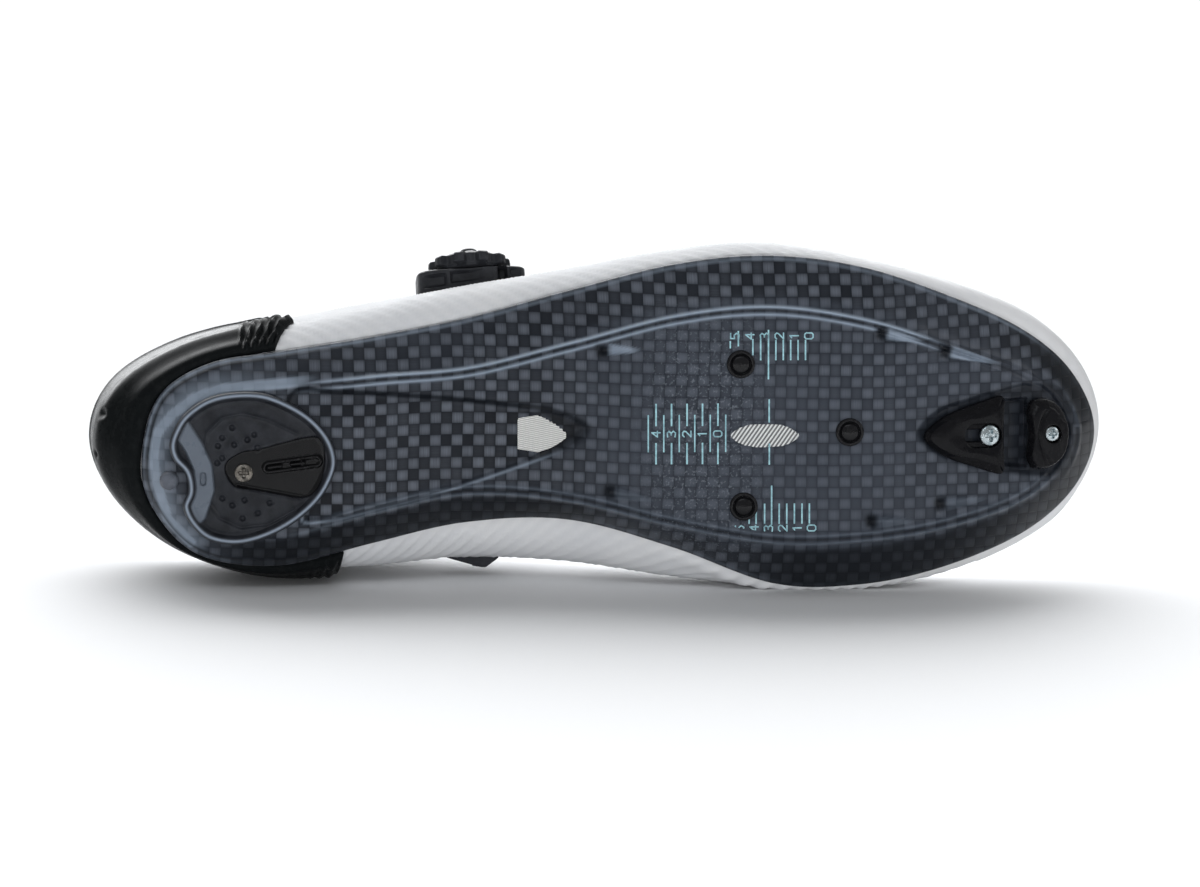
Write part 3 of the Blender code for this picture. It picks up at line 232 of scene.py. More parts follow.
# The place on the sole's underside that shows at a pixel of the photograph: 3.6 px to the mm,
# seen 5 degrees from the heel's side and 4 from the lateral one.
def onSole(column, row):
    along, side = (column - 90) / 3600, (433 - row) / 3600
    for _ in range(3):
        lift = bottomLine(np.float64(along)) - 8 * mm
        along, side = (column - 90) / 3600 + lift * 0.0875, (433 - row) / 3600 - lift * 0.07
    return np.array([along, side])


restTurn = np.array(
    Matrix.Rotation(math.radians(shoe["restTurnDeg"][2]), 3, "Z")
    @ Matrix.Rotation(math.radians(shoe["restTurnDeg"][1]), 3, "Y")
    @ Matrix.Rotation(math.radians(shoe["restTurnDeg"][0]), 3, "X")
)


def laidDown(points):
    return points @ restTurn.T + np.array(shoe["restShift"])


# Quads of a grid of rows by steps, with either side joined to its start.
def gridFaces(rows, steps, roundRows=False, roundSteps=False, first=0):
    r = np.arange(rows if roundRows else rows - 1)[:, None]
    s = np.arange(steps if roundSteps else steps - 1)[None, :]
    nextRow, nextStep = (r + 1) % rows, (s + 1) % steps
    corners = [r * steps + s, nextRow * steps + s, nextRow * steps + nextStep, r * steps + nextStep]
    corners = [np.broadcast_to(one, (r.size, s.size)).ravel() for one in corners]
    return np.stack(corners, axis=1) + first


# One mesh in the row's frame. Doubles are merged and normals turned out before it is used.
def makePiece(name, points, faces, finish, body="shoe", stands=(), uv=None,
              kinds=None, values=None, sharpDeg=40.0, weld=1e-6, closed=True):
    mesh = bpy.data.meshes.new(name)
    placed = laidDown(np.asarray(points).reshape(-1, 3))
    # where the shoe bears on the floor, its weight presses it flat
    placed[:, 2] = np.maximum(placed[:, 2], 0)
    mesh.from_pydata(placed.tolist(), [], [tuple(f) for f in np.asarray(faces).tolist()] if isinstance(faces, np.ndarray) else faces)
    finishes = finish if isinstance(finish, (list, tuple)) else [finish]
    for one in finishes:
        mesh.materials.append(one)
    if kinds is not None:
        mesh.polygons.foreach_set("material_index", np.asarray(kinds, np.int32))
    if uv is not None:
        corner = np.empty(len(mesh.loops), np.int32)
        mesh.loops.foreach_get("vertex_index", corner)
        layer = mesh.uv_layers.new(name="pattern")
        layer.uv.foreach_set("vector", np.asarray(uv, np.float32).reshape(-1, 2)[corner].ravel())
    for key, one in (values or {}).items():
        layer = mesh.attributes.new(key, "FLOAT", "POINT")
        layer.data.foreach_set("value", np.asarray(one, np.float32).ravel())
    shell = bmesh.new()
    shell.from_mesh(mesh)
    if weld:
        bmesh.ops.remove_doubles(shell, verts=shell.verts, dist=weld)
    loose = [corner for corner in shell.verts if not corner.link_faces]
    bmesh.ops.delete(shell, geom=loose, context="VERTS")
    if closed:
        bmesh.ops.recalc_face_normals(shell, faces=shell.faces)
    shell.to_mesh(mesh)
    shell.free()
    mesh.shade_smooth()
    mesh.set_sharp_from_angle(angle=math.radians(sharpDeg))
    made = bpy.data.objects.new(name, mesh)
    bpy.context.collection.objects.link(made)
    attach(made, body)
    if stands:
        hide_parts(*stands)
    return made


# Nodes: a value may be a number, a colour or another node's socket.
def putNode(tree, kind, inputs=None, **settings):
    made = tree.nodes.new(kind)
    for key, value in settings.items():
        setattr(made, key, value)
    for key, value in (inputs or {}).items():
        if isinstance(value, bpy.types.NodeSocket):
            tree.links.new(value, made.inputs[key])
        else:
            made.inputs[key].default_value = value
    return made


def calc(tree, operation, *values):
    return putNode(tree, "ShaderNodeMath", dict(enumerate(values)), operation=operation).outputs[0]


def ranged(tree, value, low, high, first=0.0, last=1.0):
    inputs = {"Value": value, "From Min": low, "From Max": high, "To Min": first, "To Max": last}
    return putNode(tree, "ShaderNodeMapRange", inputs).outputs["Result"]


def mixed(tree, factor, low, high):
    made = tree.nodes.new("ShaderNodeMix")
    made.data_type = "RGBA"
    for index, value in ((0, factor), (6, low), (7, high)):
        if isinstance(value, bpy.types.NodeSocket):
            tree.links.new(value, made.inputs[index])
        else:
            made.inputs[index].default_value = value if index == 0 else (*value, 1.0)
    return made.outputs[2]


def objectPlace(tree):
    place = putNode(tree, "ShaderNodeTexCoord").outputs["Object"]
    return place, putNode(tree, "ShaderNodeSeparateXYZ", {0: place}).outputs


def patternPlace(tree):
    place = putNode(tree, "ShaderNodeUVMap", uv_map="pattern").outputs["UV"]
    return place, putNode(tree, "ShaderNodeSeparateXYZ", {0: place}).outputs


def noise(tree, place, scale, detail=3.0, roughness=0.55):
    inputs = {"Vector": place, "Scale": scale, "Detail": detail, "Roughness": roughness}
    return putNode(tree, "ShaderNodeTexNoise", inputs).outputs[0]


def bumped(tree, height, distance, strength=1.0, normal=None):
    inputs = {"Height": height, "Distance": distance, "Strength": strength}
    if normal is not None:
        inputs["Normal"] = normal
    return putNode(tree, "ShaderNodeBump", inputs).outputs["Normal"]


def newFinish(name, colour, rough, **sockets):
    made = bpy.data.materials.new(name)
    made.use_nodes = True
    shader = made.node_tree.nodes["Principled BSDF"]
    shader.inputs["Base Color"].default_value = (*colour, 1.0)
    shader.inputs["Roughness"].default_value = rough
    for key, value in sockets.items():
        shader.inputs[key].default_value = value
    return made, made.node_tree, shader


# White coated microfibre: fine grain, painted shade in the troughs of the ripples, rows of pinholes where the
# perforated value asks for them, their darkness painted shade too, and a little grey along the sole.
def whiteSkin():
    made, tree, shader = newFinish("whiteMicrofibre", (0.8, 0.8, 0.81), 0.5, **{"Specular IOR Level": 0.15})
    place, _ = objectPlace(tree)
    _, flat = patternPlace(tree)
    wide = noise(tree, place, 45.0, 4.0)
    tone = mixed(tree, ranged(tree, wide, 0.35, 0.7), (0.64, 0.645, 0.66), (0.71, 0.71, 0.715))
    column = calc(tree, "DIVIDE", flat["X"], upperLook["holePitch"])
    row = calc(tree, "DIVIDE", flat["Y"], upperLook["holePitch"] * 0.86)
    column = calc(tree, "ADD", column, calc(tree, "MULTIPLY", calc(tree, "FLOOR", row), 0.5))
    dx = calc(tree, "SUBTRACT", calc(tree, "FRACT", column), 0.5)
    dy = calc(tree, "SUBTRACT", calc(tree, "FRACT", row), 0.5)
    reach = calc(tree, "SQRT", calc(tree, "ADD", calc(tree, "MULTIPLY", dx, dx), calc(tree, "MULTIPLY", dy, dy)))
    hole = ranged(tree, reach, 0.13, 0.17, 1.0, 0.0)
    asked = putNode(tree, "ShaderNodeAttribute", attribute_name="perforated").outputs["Fac"]
    hole = calc(tree, "MULTIPLY", hole, calc(tree, "GREATER_THAN", asked, 0.5))
    # painted shade: the skin's colour darkens in the ripples' troughs
    rippleShade = putNode(tree, "ShaderNodeAttribute", attribute_name="rippleShade").outputs["Fac"]
    tone = mixed(tree, calc(tree, "MULTIPLY", rippleShade, 0.16), tone, (0.36, 0.38, 0.42))
    soil = putNode(tree, "ShaderNodeAttribute", attribute_name="soil").outputs["Fac"]
    soil = calc(tree, "MULTIPLY", soil, ranged(tree, noise(tree, place, 160.0, 5.0), 0.4, 0.65))
    tone = mixed(tree, calc(tree, "MULTIPLY", soil, 0.25), tone, (0.5, 0.49, 0.47))
    # painted shade: each pinhole is coloured near black for the shade inside it, with a small dent in the bump
    tone = mixed(tree, hole, tone, (0.05, 0.05, 0.055))
    tree.links.new(tone, shader.inputs["Base Color"])
    grain = noise(tree, place, 1500.0, 2.0)
    rough = ranged(tree, noise(tree, place, 260.0, 3.0), 0.3, 0.7, 0.45, 0.6)
    tree.links.new(rough, shader.inputs["Roughness"])
    normal = bumped(tree, grain, 0.00008, 0.5)
    normal = bumped(tree, calc(tree, "MULTIPLY", hole, -1.0), 0.0006, 1.0, normal)
    tree.links.new(normal, shader.inputs["Normal"])
    return made


# Knitted lining: small rows of loops from two crossed waves.
def liningCloth(name, low, high, pitch=0.9 * mm):
    made, tree, shader = newFinish(name, high, 0.9, **{"Sheen Weight": 0.35, "Sheen Roughness": 0.6})
    place, flat = patternPlace(tree)
    a = calc(tree, "SINE", calc(tree, "MULTIPLY", flat["X"], 2 * math.pi / pitch))
    b = calc(tree, "SINE", calc(tree, "MULTIPLY", flat["Y"], 2 * math.pi / (pitch * 0.8)))
    knit = ranged(tree, calc(tree, "MULTIPLY", a, b), -1.0, 1.0)
    objectSpace, _ = objectPlace(tree)
    fuzz = noise(tree, objectSpace, 900.0, 3.0)
    tone = mixed(tree, calc(tree, "MULTIPLY", knit, ranged(tree, fuzz, 0.3, 0.7, 0.6, 1.0)), low, high)
    tree.links.new(tone, shader.inputs["Base Color"])
    tree.links.new(bumped(tree, calc(tree, "ADD", knit, calc(tree, "MULTIPLY", fuzz, 0.4)), 0.0003, 0.8), shader.inputs["Normal"])
    return made


# Plain-weave carbon under clear resin: tows of one pitch over and under each other, each with fine filaments, shown as
# strongly as the weave value says, frosted where the frost value says, with painted highlight and painted shade mixed
# into the colour where those values ask.
def carbonWeave():
    made, tree, shader = newFinish("clearCoatedCarbon", (0.02, 0.023, 0.03), 0.4, **{"Coat Weight": 0.16, "Coat Roughness": 0.1, "Specular IOR Level": 0.12})
    place, at = objectPlace(tree)
    wander = calc(tree, "MULTIPLY", calc(tree, "SUBTRACT", noise(tree, place, 12.0, 2.0), 0.5), 2.4 * mm)
    along = calc(tree, "DIVIDE", calc(tree, "ADD", at["X"], wander), soleLook["tow"])
    side = calc(tree, "DIVIDE", calc(tree, "ADD", at["Z"], wander), soleLook["tow"])
    fx, fz = calc(tree, "FRACT", along), calc(tree, "FRACT", side)
    parity = calc(tree, "ADD", calc(tree, "FLOOR", along), calc(tree, "FLOOR", side))
    parity = calc(tree, "MULTIPLY", calc(tree, "FRACT", calc(tree, "MULTIPLY", parity, 0.5)), 2.0)
    parity = calc(tree, "GREATER_THAN", parity, 0.5)
    sx = calc(tree, "SINE", calc(tree, "MULTIPLY", fx, math.pi))
    sz = calc(tree, "SINE", calc(tree, "MULTIPLY", fz, math.pi))
    warp = calc(tree, "MULTIPLY", calc(tree, "POWER", sx, 0.45), calc(tree, "POWER", sz, 0.2))
    weft = calc(tree, "MULTIPLY", calc(tree, "POWER", sz, 0.45), calc(tree, "POWER", sx, 0.2))
    crest = putNode(tree, "ShaderNodeMix", {0: parity, 2: warp, 3: weft}).outputs[0]
    filaments = [noise(tree, putNode(tree, "ShaderNodeVectorMath", {0: place, 1: scale}, operation="MULTIPLY").outputs[0], 1.0, 1.0)
                 for scale in ((120.0, 0.0, 5200.0), (5200.0, 0.0, 120.0))]
    thread = putNode(tree, "ShaderNodeMix", {0: parity, 2: filaments[0], 3: filaments[1]}).outputs[0]
    weave = putNode(tree, "ShaderNodeAttribute", attribute_name="weave").outputs["Fac"]
    frost = putNode(tree, "ShaderNodeAttribute", attribute_name="frost").outputs["Fac"]
    paintedHighlight = putNode(tree, "ShaderNodeAttribute", attribute_name="paintedHighlight").outputs["Fac"]
    shade = putNode(tree, "ShaderNodeAttribute", attribute_name="shade").outputs["Fac"]
    cell = putNode(tree, "ShaderNodeTexWhiteNoise", {"Vector": putNode(tree, "ShaderNodeCombineXYZ", {0: calc(tree, "FLOOR", along), 1: calc(tree, "FLOOR", side)}).outputs[0]}, noise_dimensions="3D").outputs["Value"]
    light = calc(tree, "MULTIPLY", calc(tree, "ADD", calc(tree, "MULTIPLY", parity, 0.75), calc(tree, "MULTIPLY", cell, 0.3)), crest)
    light = calc(tree, "MULTIPLY", light, ranged(tree, thread, 0.3, 0.7, 0.7, 1.15))
    strong = mixed(tree, light, (0.0035, 0.0045, 0.007), (0.11, 0.122, 0.146))
    calm = mixed(tree, calc(tree, "ADD", calc(tree, "MULTIPLY", light, 0.55), calc(tree, "MULTIPLY", crest, 0.45)), (0.011, 0.014, 0.02), (0.07, 0.08, 0.1))
    tone = mixed(tree, weave, calm, strong)
    cloud = noise(tree, place, 18.0, 3.0)
    tone = mixed(tree, ranged(tree, cloud, 0.42, 0.68, 0.0, 0.35), tone, (0.05, 0.058, 0.075))
    # painted highlight: a pale blue-grey mixed into the colour on ridges, rims and edges
    tone = mixed(tree, paintedHighlight, tone, (0.30, 0.36, 0.44))
    # painted shade: the colour is darkened towards black as the shade value asks
    tone = mixed(tree, shade, tone, (0.003, 0.004, 0.006))
    speck = ranged(tree, noise(tree, place, 1400.0, 2.0), 0.56, 0.68)
    tone = mixed(tree, calc(tree, "MULTIPLY", calc(tree, "MULTIPLY", speck, frost), 0.5), tone, (0.18, 0.2, 0.23))
    tree.links.new(tone, shader.inputs["Base Color"])
    rough = calc(tree, "ADD", ranged(tree, crest, 0.0, 1.0, 0.5, 0.33), calc(tree, "MULTIPLY", frost, 0.2))
    tree.links.new(rough, shader.inputs["Roughness"])
    tree.links.new(bumped(tree, crest, 0.0002, 0.6), shader.inputs["Normal"])
    skin = bumped(tree, noise(tree, place, 90.0, 2.0), 0.0004, 0.25)
    skin = bumped(tree, calc(tree, "MULTIPLY", speck, frost), 0.0002, 0.8, skin)
    tree.links.new(skin, shader.inputs["Coat Normal"])
    return made


# Glossy moulded plastic: a slow waviness, fine scuffs and dust in the roughness.
def glossPlastic(name, colour, rough=0.14, scuff=0.5, shine=0.2):
    made, tree, shader = newFinish(name, colour, rough, **{"Coat Weight": shine * 0.6, "Coat Roughness": 0.08, "Specular IOR Level": shine})
    place, _ = objectPlace(tree)
    stretched = putNode(tree, "ShaderNodeVectorMath", {0: place, 1: (220.0, 900.0, 70.0)}, operation="MULTIPLY").outputs[0]
    scratch = ranged(tree, noise(tree, stretched, 1.0, 4.0), 0.6, 0.75)
    dust = ranged(tree, noise(tree, place, 420.0, 5.0), 0.5, 0.75)
    wear = calc(tree, "MULTIPLY", calc(tree, "MAXIMUM", scratch, dust), scuff)
    tree.links.new(ranged(tree, wear, 0.0, 1.0, rough, rough + 0.3), shader.inputs["Roughness"])
    tone = mixed(tree, calc(tree, "MULTIPLY", wear, 0.2), colour, tuple(min(1.0, part + 0.04) for part in colour))
    tree.links.new(tone, shader.inputs["Base Color"])
    tree.links.new(bumped(tree, noise(tree, place, 110.0, 2.0), 0.0005, 0.3), shader.inputs["Normal"])
    return made


# Matte rubber or plastic with a fine spark-eroded grain.
def grainPlastic(name, colour, rough=0.55, grain=0.5):
    made, tree, shader = newFinish(name, colour, rough, **{"Specular IOR Level": 0.3})
    place, _ = objectPlace(tree)
    fine = noise(tree, place, 2600.0, 2.0)
    tone = mixed(tree, ranged(tree, noise(tree, place, 240.0, 4.0), 0.35, 0.7), colour, tuple(part * 1.5 + 0.006 for part in colour))
    tree.links.new(tone, shader.inputs["Base Color"])
    tree.links.new(ranged(tree, noise(tree, place, 500.0, 3.0), 0.3, 0.7, rough - 0.08, rough + 0.1), shader.inputs["Roughness"])
    tree.links.new(bumped(tree, fine, 0.00012, grain), shader.inputs["Normal"])
    return made


# Zinc-plated steel with turning marks and a blue cast.
def zincSteel(name, low, high):
    made, tree, shader = newFinish(name, high, 0.26, Metallic=1.0)
    place, _ = objectPlace(tree)
    tone = mixed(tree, ranged(tree, noise(tree, place, 700.0, 4.0), 0.35, 0.65), low, high)
    tree.links.new(tone, shader.inputs["Base Color"])
    tree.links.new(ranged(tree, noise(tree, place, 1500.0, 2.0), 0.3, 0.7, 0.2, 0.38), shader.inputs["Roughness"])
    tree.links.new(bumped(tree, noise(tree, place, 2200.0, 2.0), 0.00006, 0.5), shader.inputs["Normal"])
    return made


# Silver mesh cloth behind a vent: slanting threads with dark gaps between them.
def ventMesh(name, pitch, slant, low, high):
    made, tree, shader = newFinish(name, (0.6, 0.61, 0.62), 0.45, Metallic=0.25)
    place, at = objectPlace(tree)
    across = calc(tree, "ADD", calc(tree, "MULTIPLY", at["X"], math.cos(slant)), calc(tree, "MULTIPLY", at["Z"], math.sin(slant)))
    over = calc(tree, "SUBTRACT", calc(tree, "MULTIPLY", at["X"], math.sin(slant)), calc(tree, "MULTIPLY", at["Z"], math.cos(slant)))
    wave = calc(tree, "SINE", calc(tree, "MULTIPLY", across, 2 * math.pi / pitch))
    cross = calc(tree, "SINE", calc(tree, "MULTIPLY", over, 2 * math.pi / (pitch * 0.5)))
    thread = calc(tree, "ADD", ranged(tree, wave, -0.7, 0.6), calc(tree, "MULTIPLY", cross, 0.08))
    tone = mixed(tree, thread, low, high)
    tree.links.new(tone, shader.inputs["Base Color"])
    tree.links.new(bumped(tree, thread, 0.0003, 0.8), shader.inputs["Normal"])
    return made


# Least distance of points from the segments between start and end points.
def segmentDistance(x, z, start, end):
    px, pz = x.ravel()[:, None], z.ravel()[:, None]
    way = end - start
    reach = (px - start[:, 0]) * way[:, 0] + (pz - start[:, 1]) * way[:, 1]
    reach = np.clip(reach / np.maximum((way**2).sum(1), 1e-18), 0, 1)
    dx = px - start[:, 0] - reach * way[:, 0]
    dz = pz - start[:, 1] - reach * way[:, 1]
    return np.sqrt((dx**2 + dz**2).min(axis=1)).reshape(x.shape)


# Signed distance of points from a closed outline, positive inside: the least distance to any
# edge, with the sign of a crossing count.
def insideDistance(x, z, outline):
    start = np.asarray(outline, float)
    end = np.roll(start, -1, axis=0)
    px, pz = x.ravel()[:, None], z.ravel()[:, None]
    way = end - start
    least = segmentDistance(x, z, start, end).ravel()
    crosses = (start[:, 1] > pz) != (end[:, 1] > pz)
    rise = np.where(np.abs(way[:, 1]) < 1e-12, 1e-12, way[:, 1])
    where = start[:, 0] + (pz - start[:, 1]) * way[:, 0] / rise
    inside = (crosses & (px < where)).sum(axis=1) % 2 == 1
    return np.where(inside, least, -least).reshape(x.shape)


# A closed smooth outline through a few corners.
def smoothOutline(corners, count=96):
    corners = np.array(corners, float)
    return loopValue(corners, np.arange(count) * len(corners) / count)


# Small stitches as flattened ellipsoids along a path: centre plus the half sizes times sine and
# cosine on the path's own directions.
def stitchRow(centres, ahead, normals, half=(1.15 * mm, 0.32 * mm, 0.28 * mm)):
    around = np.linspace(0, 2 * math.pi, 8, endpoint=False)[None, :]
    polar = np.linspace(0.0, math.pi, 7)[:, None]
    a = (np.cos(polar) * np.ones_like(around)).ravel() * half[0]
    b = (np.sin(polar) * np.cos(around)).ravel() * half[1]
    c = (np.sin(polar) * np.sin(around)).ravel() * half[2]
    side = unit(np.cross(normals, ahead))
    points = centres[:, None] + ahead[:, None] * a[None, :, None]
    points = points + side[:, None] * b[None, :, None] + normals[:, None] * c[None, :, None]
    faces = gridFaces(7, 8, roundSteps=True)
    faces = faces[None] + (np.arange(len(centres)) * 56)[:, None, None]
    return points.reshape(-1, 3), faces.reshape(-1, 4)


# Places at even steps of length along a path, with its direction there.
def evenly(path, step):
    legs = np.linalg.norm(np.diff(path, axis=0), axis=1)
    run = np.concatenate([[0], np.cumsum(legs)])
    asked = np.arange(step / 2, run[-1], step)
    spots = np.stack([np.interp(asked, run, path[:, i]) for i in range(3)], axis=1)
    after = np.stack([np.interp(asked + step * 0.2, run, path[:, i]) for i in range(3)], axis=1)
    before = np.stack([np.interp(asked - step * 0.2, run, path[:, i]) for i in range(3)], axis=1)
    return spots, unit(after - before), asked / run[-1]


upperLook = {
    "columnsPerRow": 30,
    "underSteps": 14,
    "overSteps": 46,
    "rimSteps": 5,
    "wall": 2.0 * mm,
    "collarPad": 3.6 * mm,
    "closedFrom": 7 + 2 / 3,
    "ripplePitch": 4.8 * mm,
    "rippleHeight": 0.6 * mm,
    "rippleSlant": 0.9,
    "seamFromEdge": 6.5 * mm,
    "toeFilm": 0.28 * mm,
    "holePitch": 4.2 * mm,
    "stitchStep": 3.0 * mm,
}


def upperGrid():
    look = upperLook
    columns = loopRows * look["columnsPerRow"]
    position = np.arange(columns) / look["columnsPerRow"]
    near = np.minimum(position, loopRows - position)
    at = stationAt(position)
    closed = near >= look["closedFrom"] - 1e-6
    closing = softStep(near, 6.9, look["closedFrom"])
    opening = at["opening"] + (math.pi / 2 - at["opening"]) * closing
    power = 1 / at["full"]
    under = [underPoint(position, np.full(columns, turn)) for turn in np.linspace(0, 1, look["underSteps"])]
    over = [overPoint(position, opening * climb**power) for climb in np.linspace(0, 1, look["overSteps"])[1:]]
    outer = np.stack(under + over, axis=1)
    ahead = np.roll(outer, -1, axis=0) - np.roll(outer, 1, axis=0)
    normal = unit(np.cross(ahead, np.gradient(outer, axis=1)))
    here = np.nonzero(closed)[0]
    normal[here, -1] = unit(normal[here, -1] + normal[(columns - here) % columns, -1])
    run = np.concatenate([np.zeros((columns, 1)), np.cumsum(np.linalg.norm(np.diff(outer, axis=1), axis=2), axis=1)], axis=1)
    return position, near, closed, closing, outer, normal, run


# The hollow upper: outer skin with slanting embossed ripples, a round rim, and the lining.
# A ripple's height is a raised cosine of along plus slant times the distance from the sole.
def makeUpper(skin, lining):
    look = upperLook
    position, near, closed, closing, outer, normal, run = upperGrid()
    columns, steps = outer.shape[:2]
    share = outer[..., 0] / shoe["length"]
    toTop = run[:, -1:] - run
    lateral = (position < lastRow)[:, None]
    sway = 0.9 * mm * np.sin(outer[..., 0] / (17 * mm)) + 0.7 * mm * np.sin(run / (9 * mm))
    phase = (outer[..., 0] + look["rippleSlant"] * run + sway) / look["ripplePitch"]
    wave = (0.5 + 0.5 * np.cos(2 * math.pi * phase)) ** 1.5
    fade = softStep(run, 0.8 * mm, 3.6 * mm) * softStep(toTop, 9 * mm, 15 * mm)
    fade = fade * np.where(lateral, 1 - softStep(share, 0.62, 0.8), 1 - softStep(share, 0.72, 0.9))
    relief = look["rippleHeight"] * wave * fade
    # the sewn edge of the collar and the throat, and the film over the toe
    edge = look["seamFromEdge"]
    open_ = (1 - closing)[:, None]
    relief = relief - 0.45 * mm * bell(toTop - edge, 0.55 * mm) * open_
    relief = relief + 0.25 * mm * softStep(toTop, edge, edge - 1.2 * mm) * open_
    film = softStep(share - 0.055 * np.cos(run / (40 * mm) * math.pi), 0.825, 0.829)
    relief = relief + look["toeFilm"] * film * softStep(toTop, 0, 1 * mm)
    relief = relief - 0.3 * mm * bell(run - 1.4 * mm, 0.6 * mm)
    # the roll stands proud of the sole along the medial ball and toe
    relief = relief + 1.9 * mm * bell(run - 5 * mm, 3.4 * mm) * softStep(share, 0.52, 0.66) * (1 - softStep(share, 0.95, 1.0)) * ~lateral
    # an overlay round the heel and one panel seam on each side
    seam = outer[..., 0] + 0.55 * (run - 30 * mm) - 0.34 * shoe["length"]
    relief = relief - 0.35 * mm * bell(seam, 0.5 * mm) * softStep(toTop, 4 * mm, 8 * mm)
    shown = outer + normal * relief[..., None]

    pad = 1 - softStep(near, 2.9, 4.2)
    climbs = np.linspace(0, 1, look["overSteps"])[1:]
    swell = np.interp(climbs, [0, 0.55, 0.85, 0.94, 1.0], [0, 0, 0.9, 1.0, 0.35])
    swell = np.concatenate([np.zeros(look["underSteps"]), swell])
    wall = look["wall"] + look["collarPad"] * pad[:, None] * swell[None, :]
    inner = outer - normal * wall[..., None]

    # the rim: half a circle from the skin over to the lining
    centre = (shown[:, -1] + inner[:, -1]) / 2
    radius = np.linalg.norm(shown[:, -1] - inner[:, -1], axis=1)[:, None] / 2
    up = unit(outer[:, -1] - outer[:, -2])
    bulge = (1 - closing)[:, None] * np.where(closed[:, None], 0, 1)
    angles = np.linspace(0, math.pi, look["rimSteps"] + 2)[1:-1]
    rim = [centre + (shown[:, -1] - centre) * math.cos(t) + up * radius * math.sin(t) * bulge for t in angles]
    rim = np.stack(rim, axis=1)

    grid = columns * steps
    faces = [gridFaces(columns, steps, roundRows=True)]
    faces.append(gridFaces(columns, steps, roundRows=True, first=grid)[:, ::-1])
    c = np.arange(columns)
    n = (c + 1) % columns
    faces.append(np.stack([n * steps, c * steps, c * steps + grid, n * steps + grid], axis=1))
    openColumns = ~(closed & closed[n])
    c, n = c[openColumns], n[openColumns]
    def rimIndex(column, step):
        if step < 0:
            return column * steps + steps - 1
        if step >= look["rimSteps"]:
            return grid + column * steps + steps - 1
        return 2 * grid + column * look["rimSteps"] + step
    for step in range(-1, look["rimSteps"]):
        faces.append(np.stack([rimIndex(c, step), rimIndex(n, step), rimIndex(n, step + 1), rimIndex(c, step + 1)], axis=1))
    kinds = np.concatenate([np.full(len(one), kind) for one, kind in zip(faces, [0, 1, 1] + [1] * (look["rimSteps"] + 1))])
    faces = np.vstack(faces)
    points = np.vstack([shown.reshape(-1, 3), inner.reshape(-1, 3), rim.reshape(-1, 3)])
    flatOuter = np.stack([shown[..., 0], shown[..., 2]], axis=-1).reshape(-1, 2)
    flatInner = np.stack([inner[..., 0], run], axis=-1).reshape(-1, 2)
    flatRim = np.stack([rim[..., 0], np.broadcast_to(run[:, -1:], rim.shape[:2])], axis=-1).reshape(-1, 2)
    middle = np.abs(shown[..., 2] - 2 * mm)
    holes = (share > 0.685) & (share < 0.845) & (middle > 5.5 * mm) & (middle < (26 - (share - 0.685) * 60) * mm) & (near[:, None] > 7.7)
    holes = np.concatenate([holes.ravel(), np.zeros(len(points) - grid)]).astype(float)
    soil = np.exp(-run / (5 * mm)) + 0.6 * softStep(share, 0.9, 1.0) * np.exp(-run / (14 * mm))
    soil = np.concatenate([soil.ravel(), np.zeros(len(points) - grid)])
    # painted shade for the skin's colour, strongest in the ripples' troughs
    rippleShade = np.concatenate([(fade * (1 - wave)).ravel(), np.zeros(len(points) - grid)])
    made = makePiece("upperSkin", points, faces, [skin, lining], stands=["upper"],
                     uv=np.vstack([flatOuter, flatInner, flatRim]), kinds=kinds,
                     values={"perforated": holes, "soil": soil, "rippleShade": rippleShade}, sharpDeg=60)
    return made, shown, normal, toTop, near


# Two rows of stitches beside the throat and one round the collar.
def makeUpperStitches(thread, shown, normal, toTop, near):
    columns = len(shown)
    half = columns // 2
    points, faces, count = [], [], 0
    rows = ((2.4 * mm, 5.0, 7.35), (4.6 * mm, 5.0, 7.2), (8.2 * mm, 0.0, 4.6))
    for lateral in (True, False):
        order = np.arange(0, half) if lateral else np.arange(columns - 1, half, -1)
        for depth, first, last in rows:
            use = order[(near[order] >= first) & (near[order] <= last)]
            path, way = [], []
            for column in use:
                run = toTop[column][::-1]
                path.append([np.interp(depth, run, shown[column, ::-1, i]) for i in range(3)])
                way.append([np.interp(depth, run, normal[column, ::-1, i]) for i in range(3)])
            path, way = np.array(path), unit(np.array(way))
            spots, ahead, share = evenly(path, upperLook["stitchStep"])
            out = np.stack([np.interp(share, np.linspace(0, 1, len(way)), way[:, i]) for i in range(3)], axis=1)
            got, quads = stitchRow(spots + unit(out) * 0.08 * mm, ahead, unit(out))
            points.append(got)
            faces.append(quads + count)
            count += len(got)
    return makePiece("upperStitches", np.vstack(points), np.vstack(faces), thread)


soleLook = {
    "columnsPerRow": 30,
    "tow": 3.06 * mm,
    "recessDepth": 1.8 * mm,
    "crestWidth": 0.5 * mm,
    "crestApart": 2.1 * mm,
    # head, tail, width and depth of each scoop beside the raised lines, in pixels and mm
    "scoops": (
        ((599, 350), (640, 352), 3.0, 1.3),
        ((878, 334), (925, 345), 3.6, 1.5),
        ((943, 352), (1000, 366), 4.2, 1.3),
        ((606, 491), (655, 500), 3.2, 1.3),
        ((868, 524), (915, 522), 3.6, 1.6),
        ((938, 508), (990, 500), 4.2, 1.5),
    ),
    "recess": ((290, 396), (345, 389), (430, 394), (500, 401), (548, 407), (580, 419), (590, 430),
               (574, 445), (520, 466), (450, 489), (380, 507), (320, 520), (300, 505)),
    "frostAt": (705, 440),
    "heelBand": ((330, 379), (300, 381), (262, 384), (225, 387), (198, 396), (176, 413), (162, 431),
                 (158, 454), (160, 476), (172, 517), (195, 541)),
    "sliderBay": ((919, 435), (938, 412), (972, 400), (1004, 391), (1034, 385), (1070, 392), (1078, 433),
                  (1070, 474), (1040, 478), (1004, 473), (972, 467), (940, 456)),
}


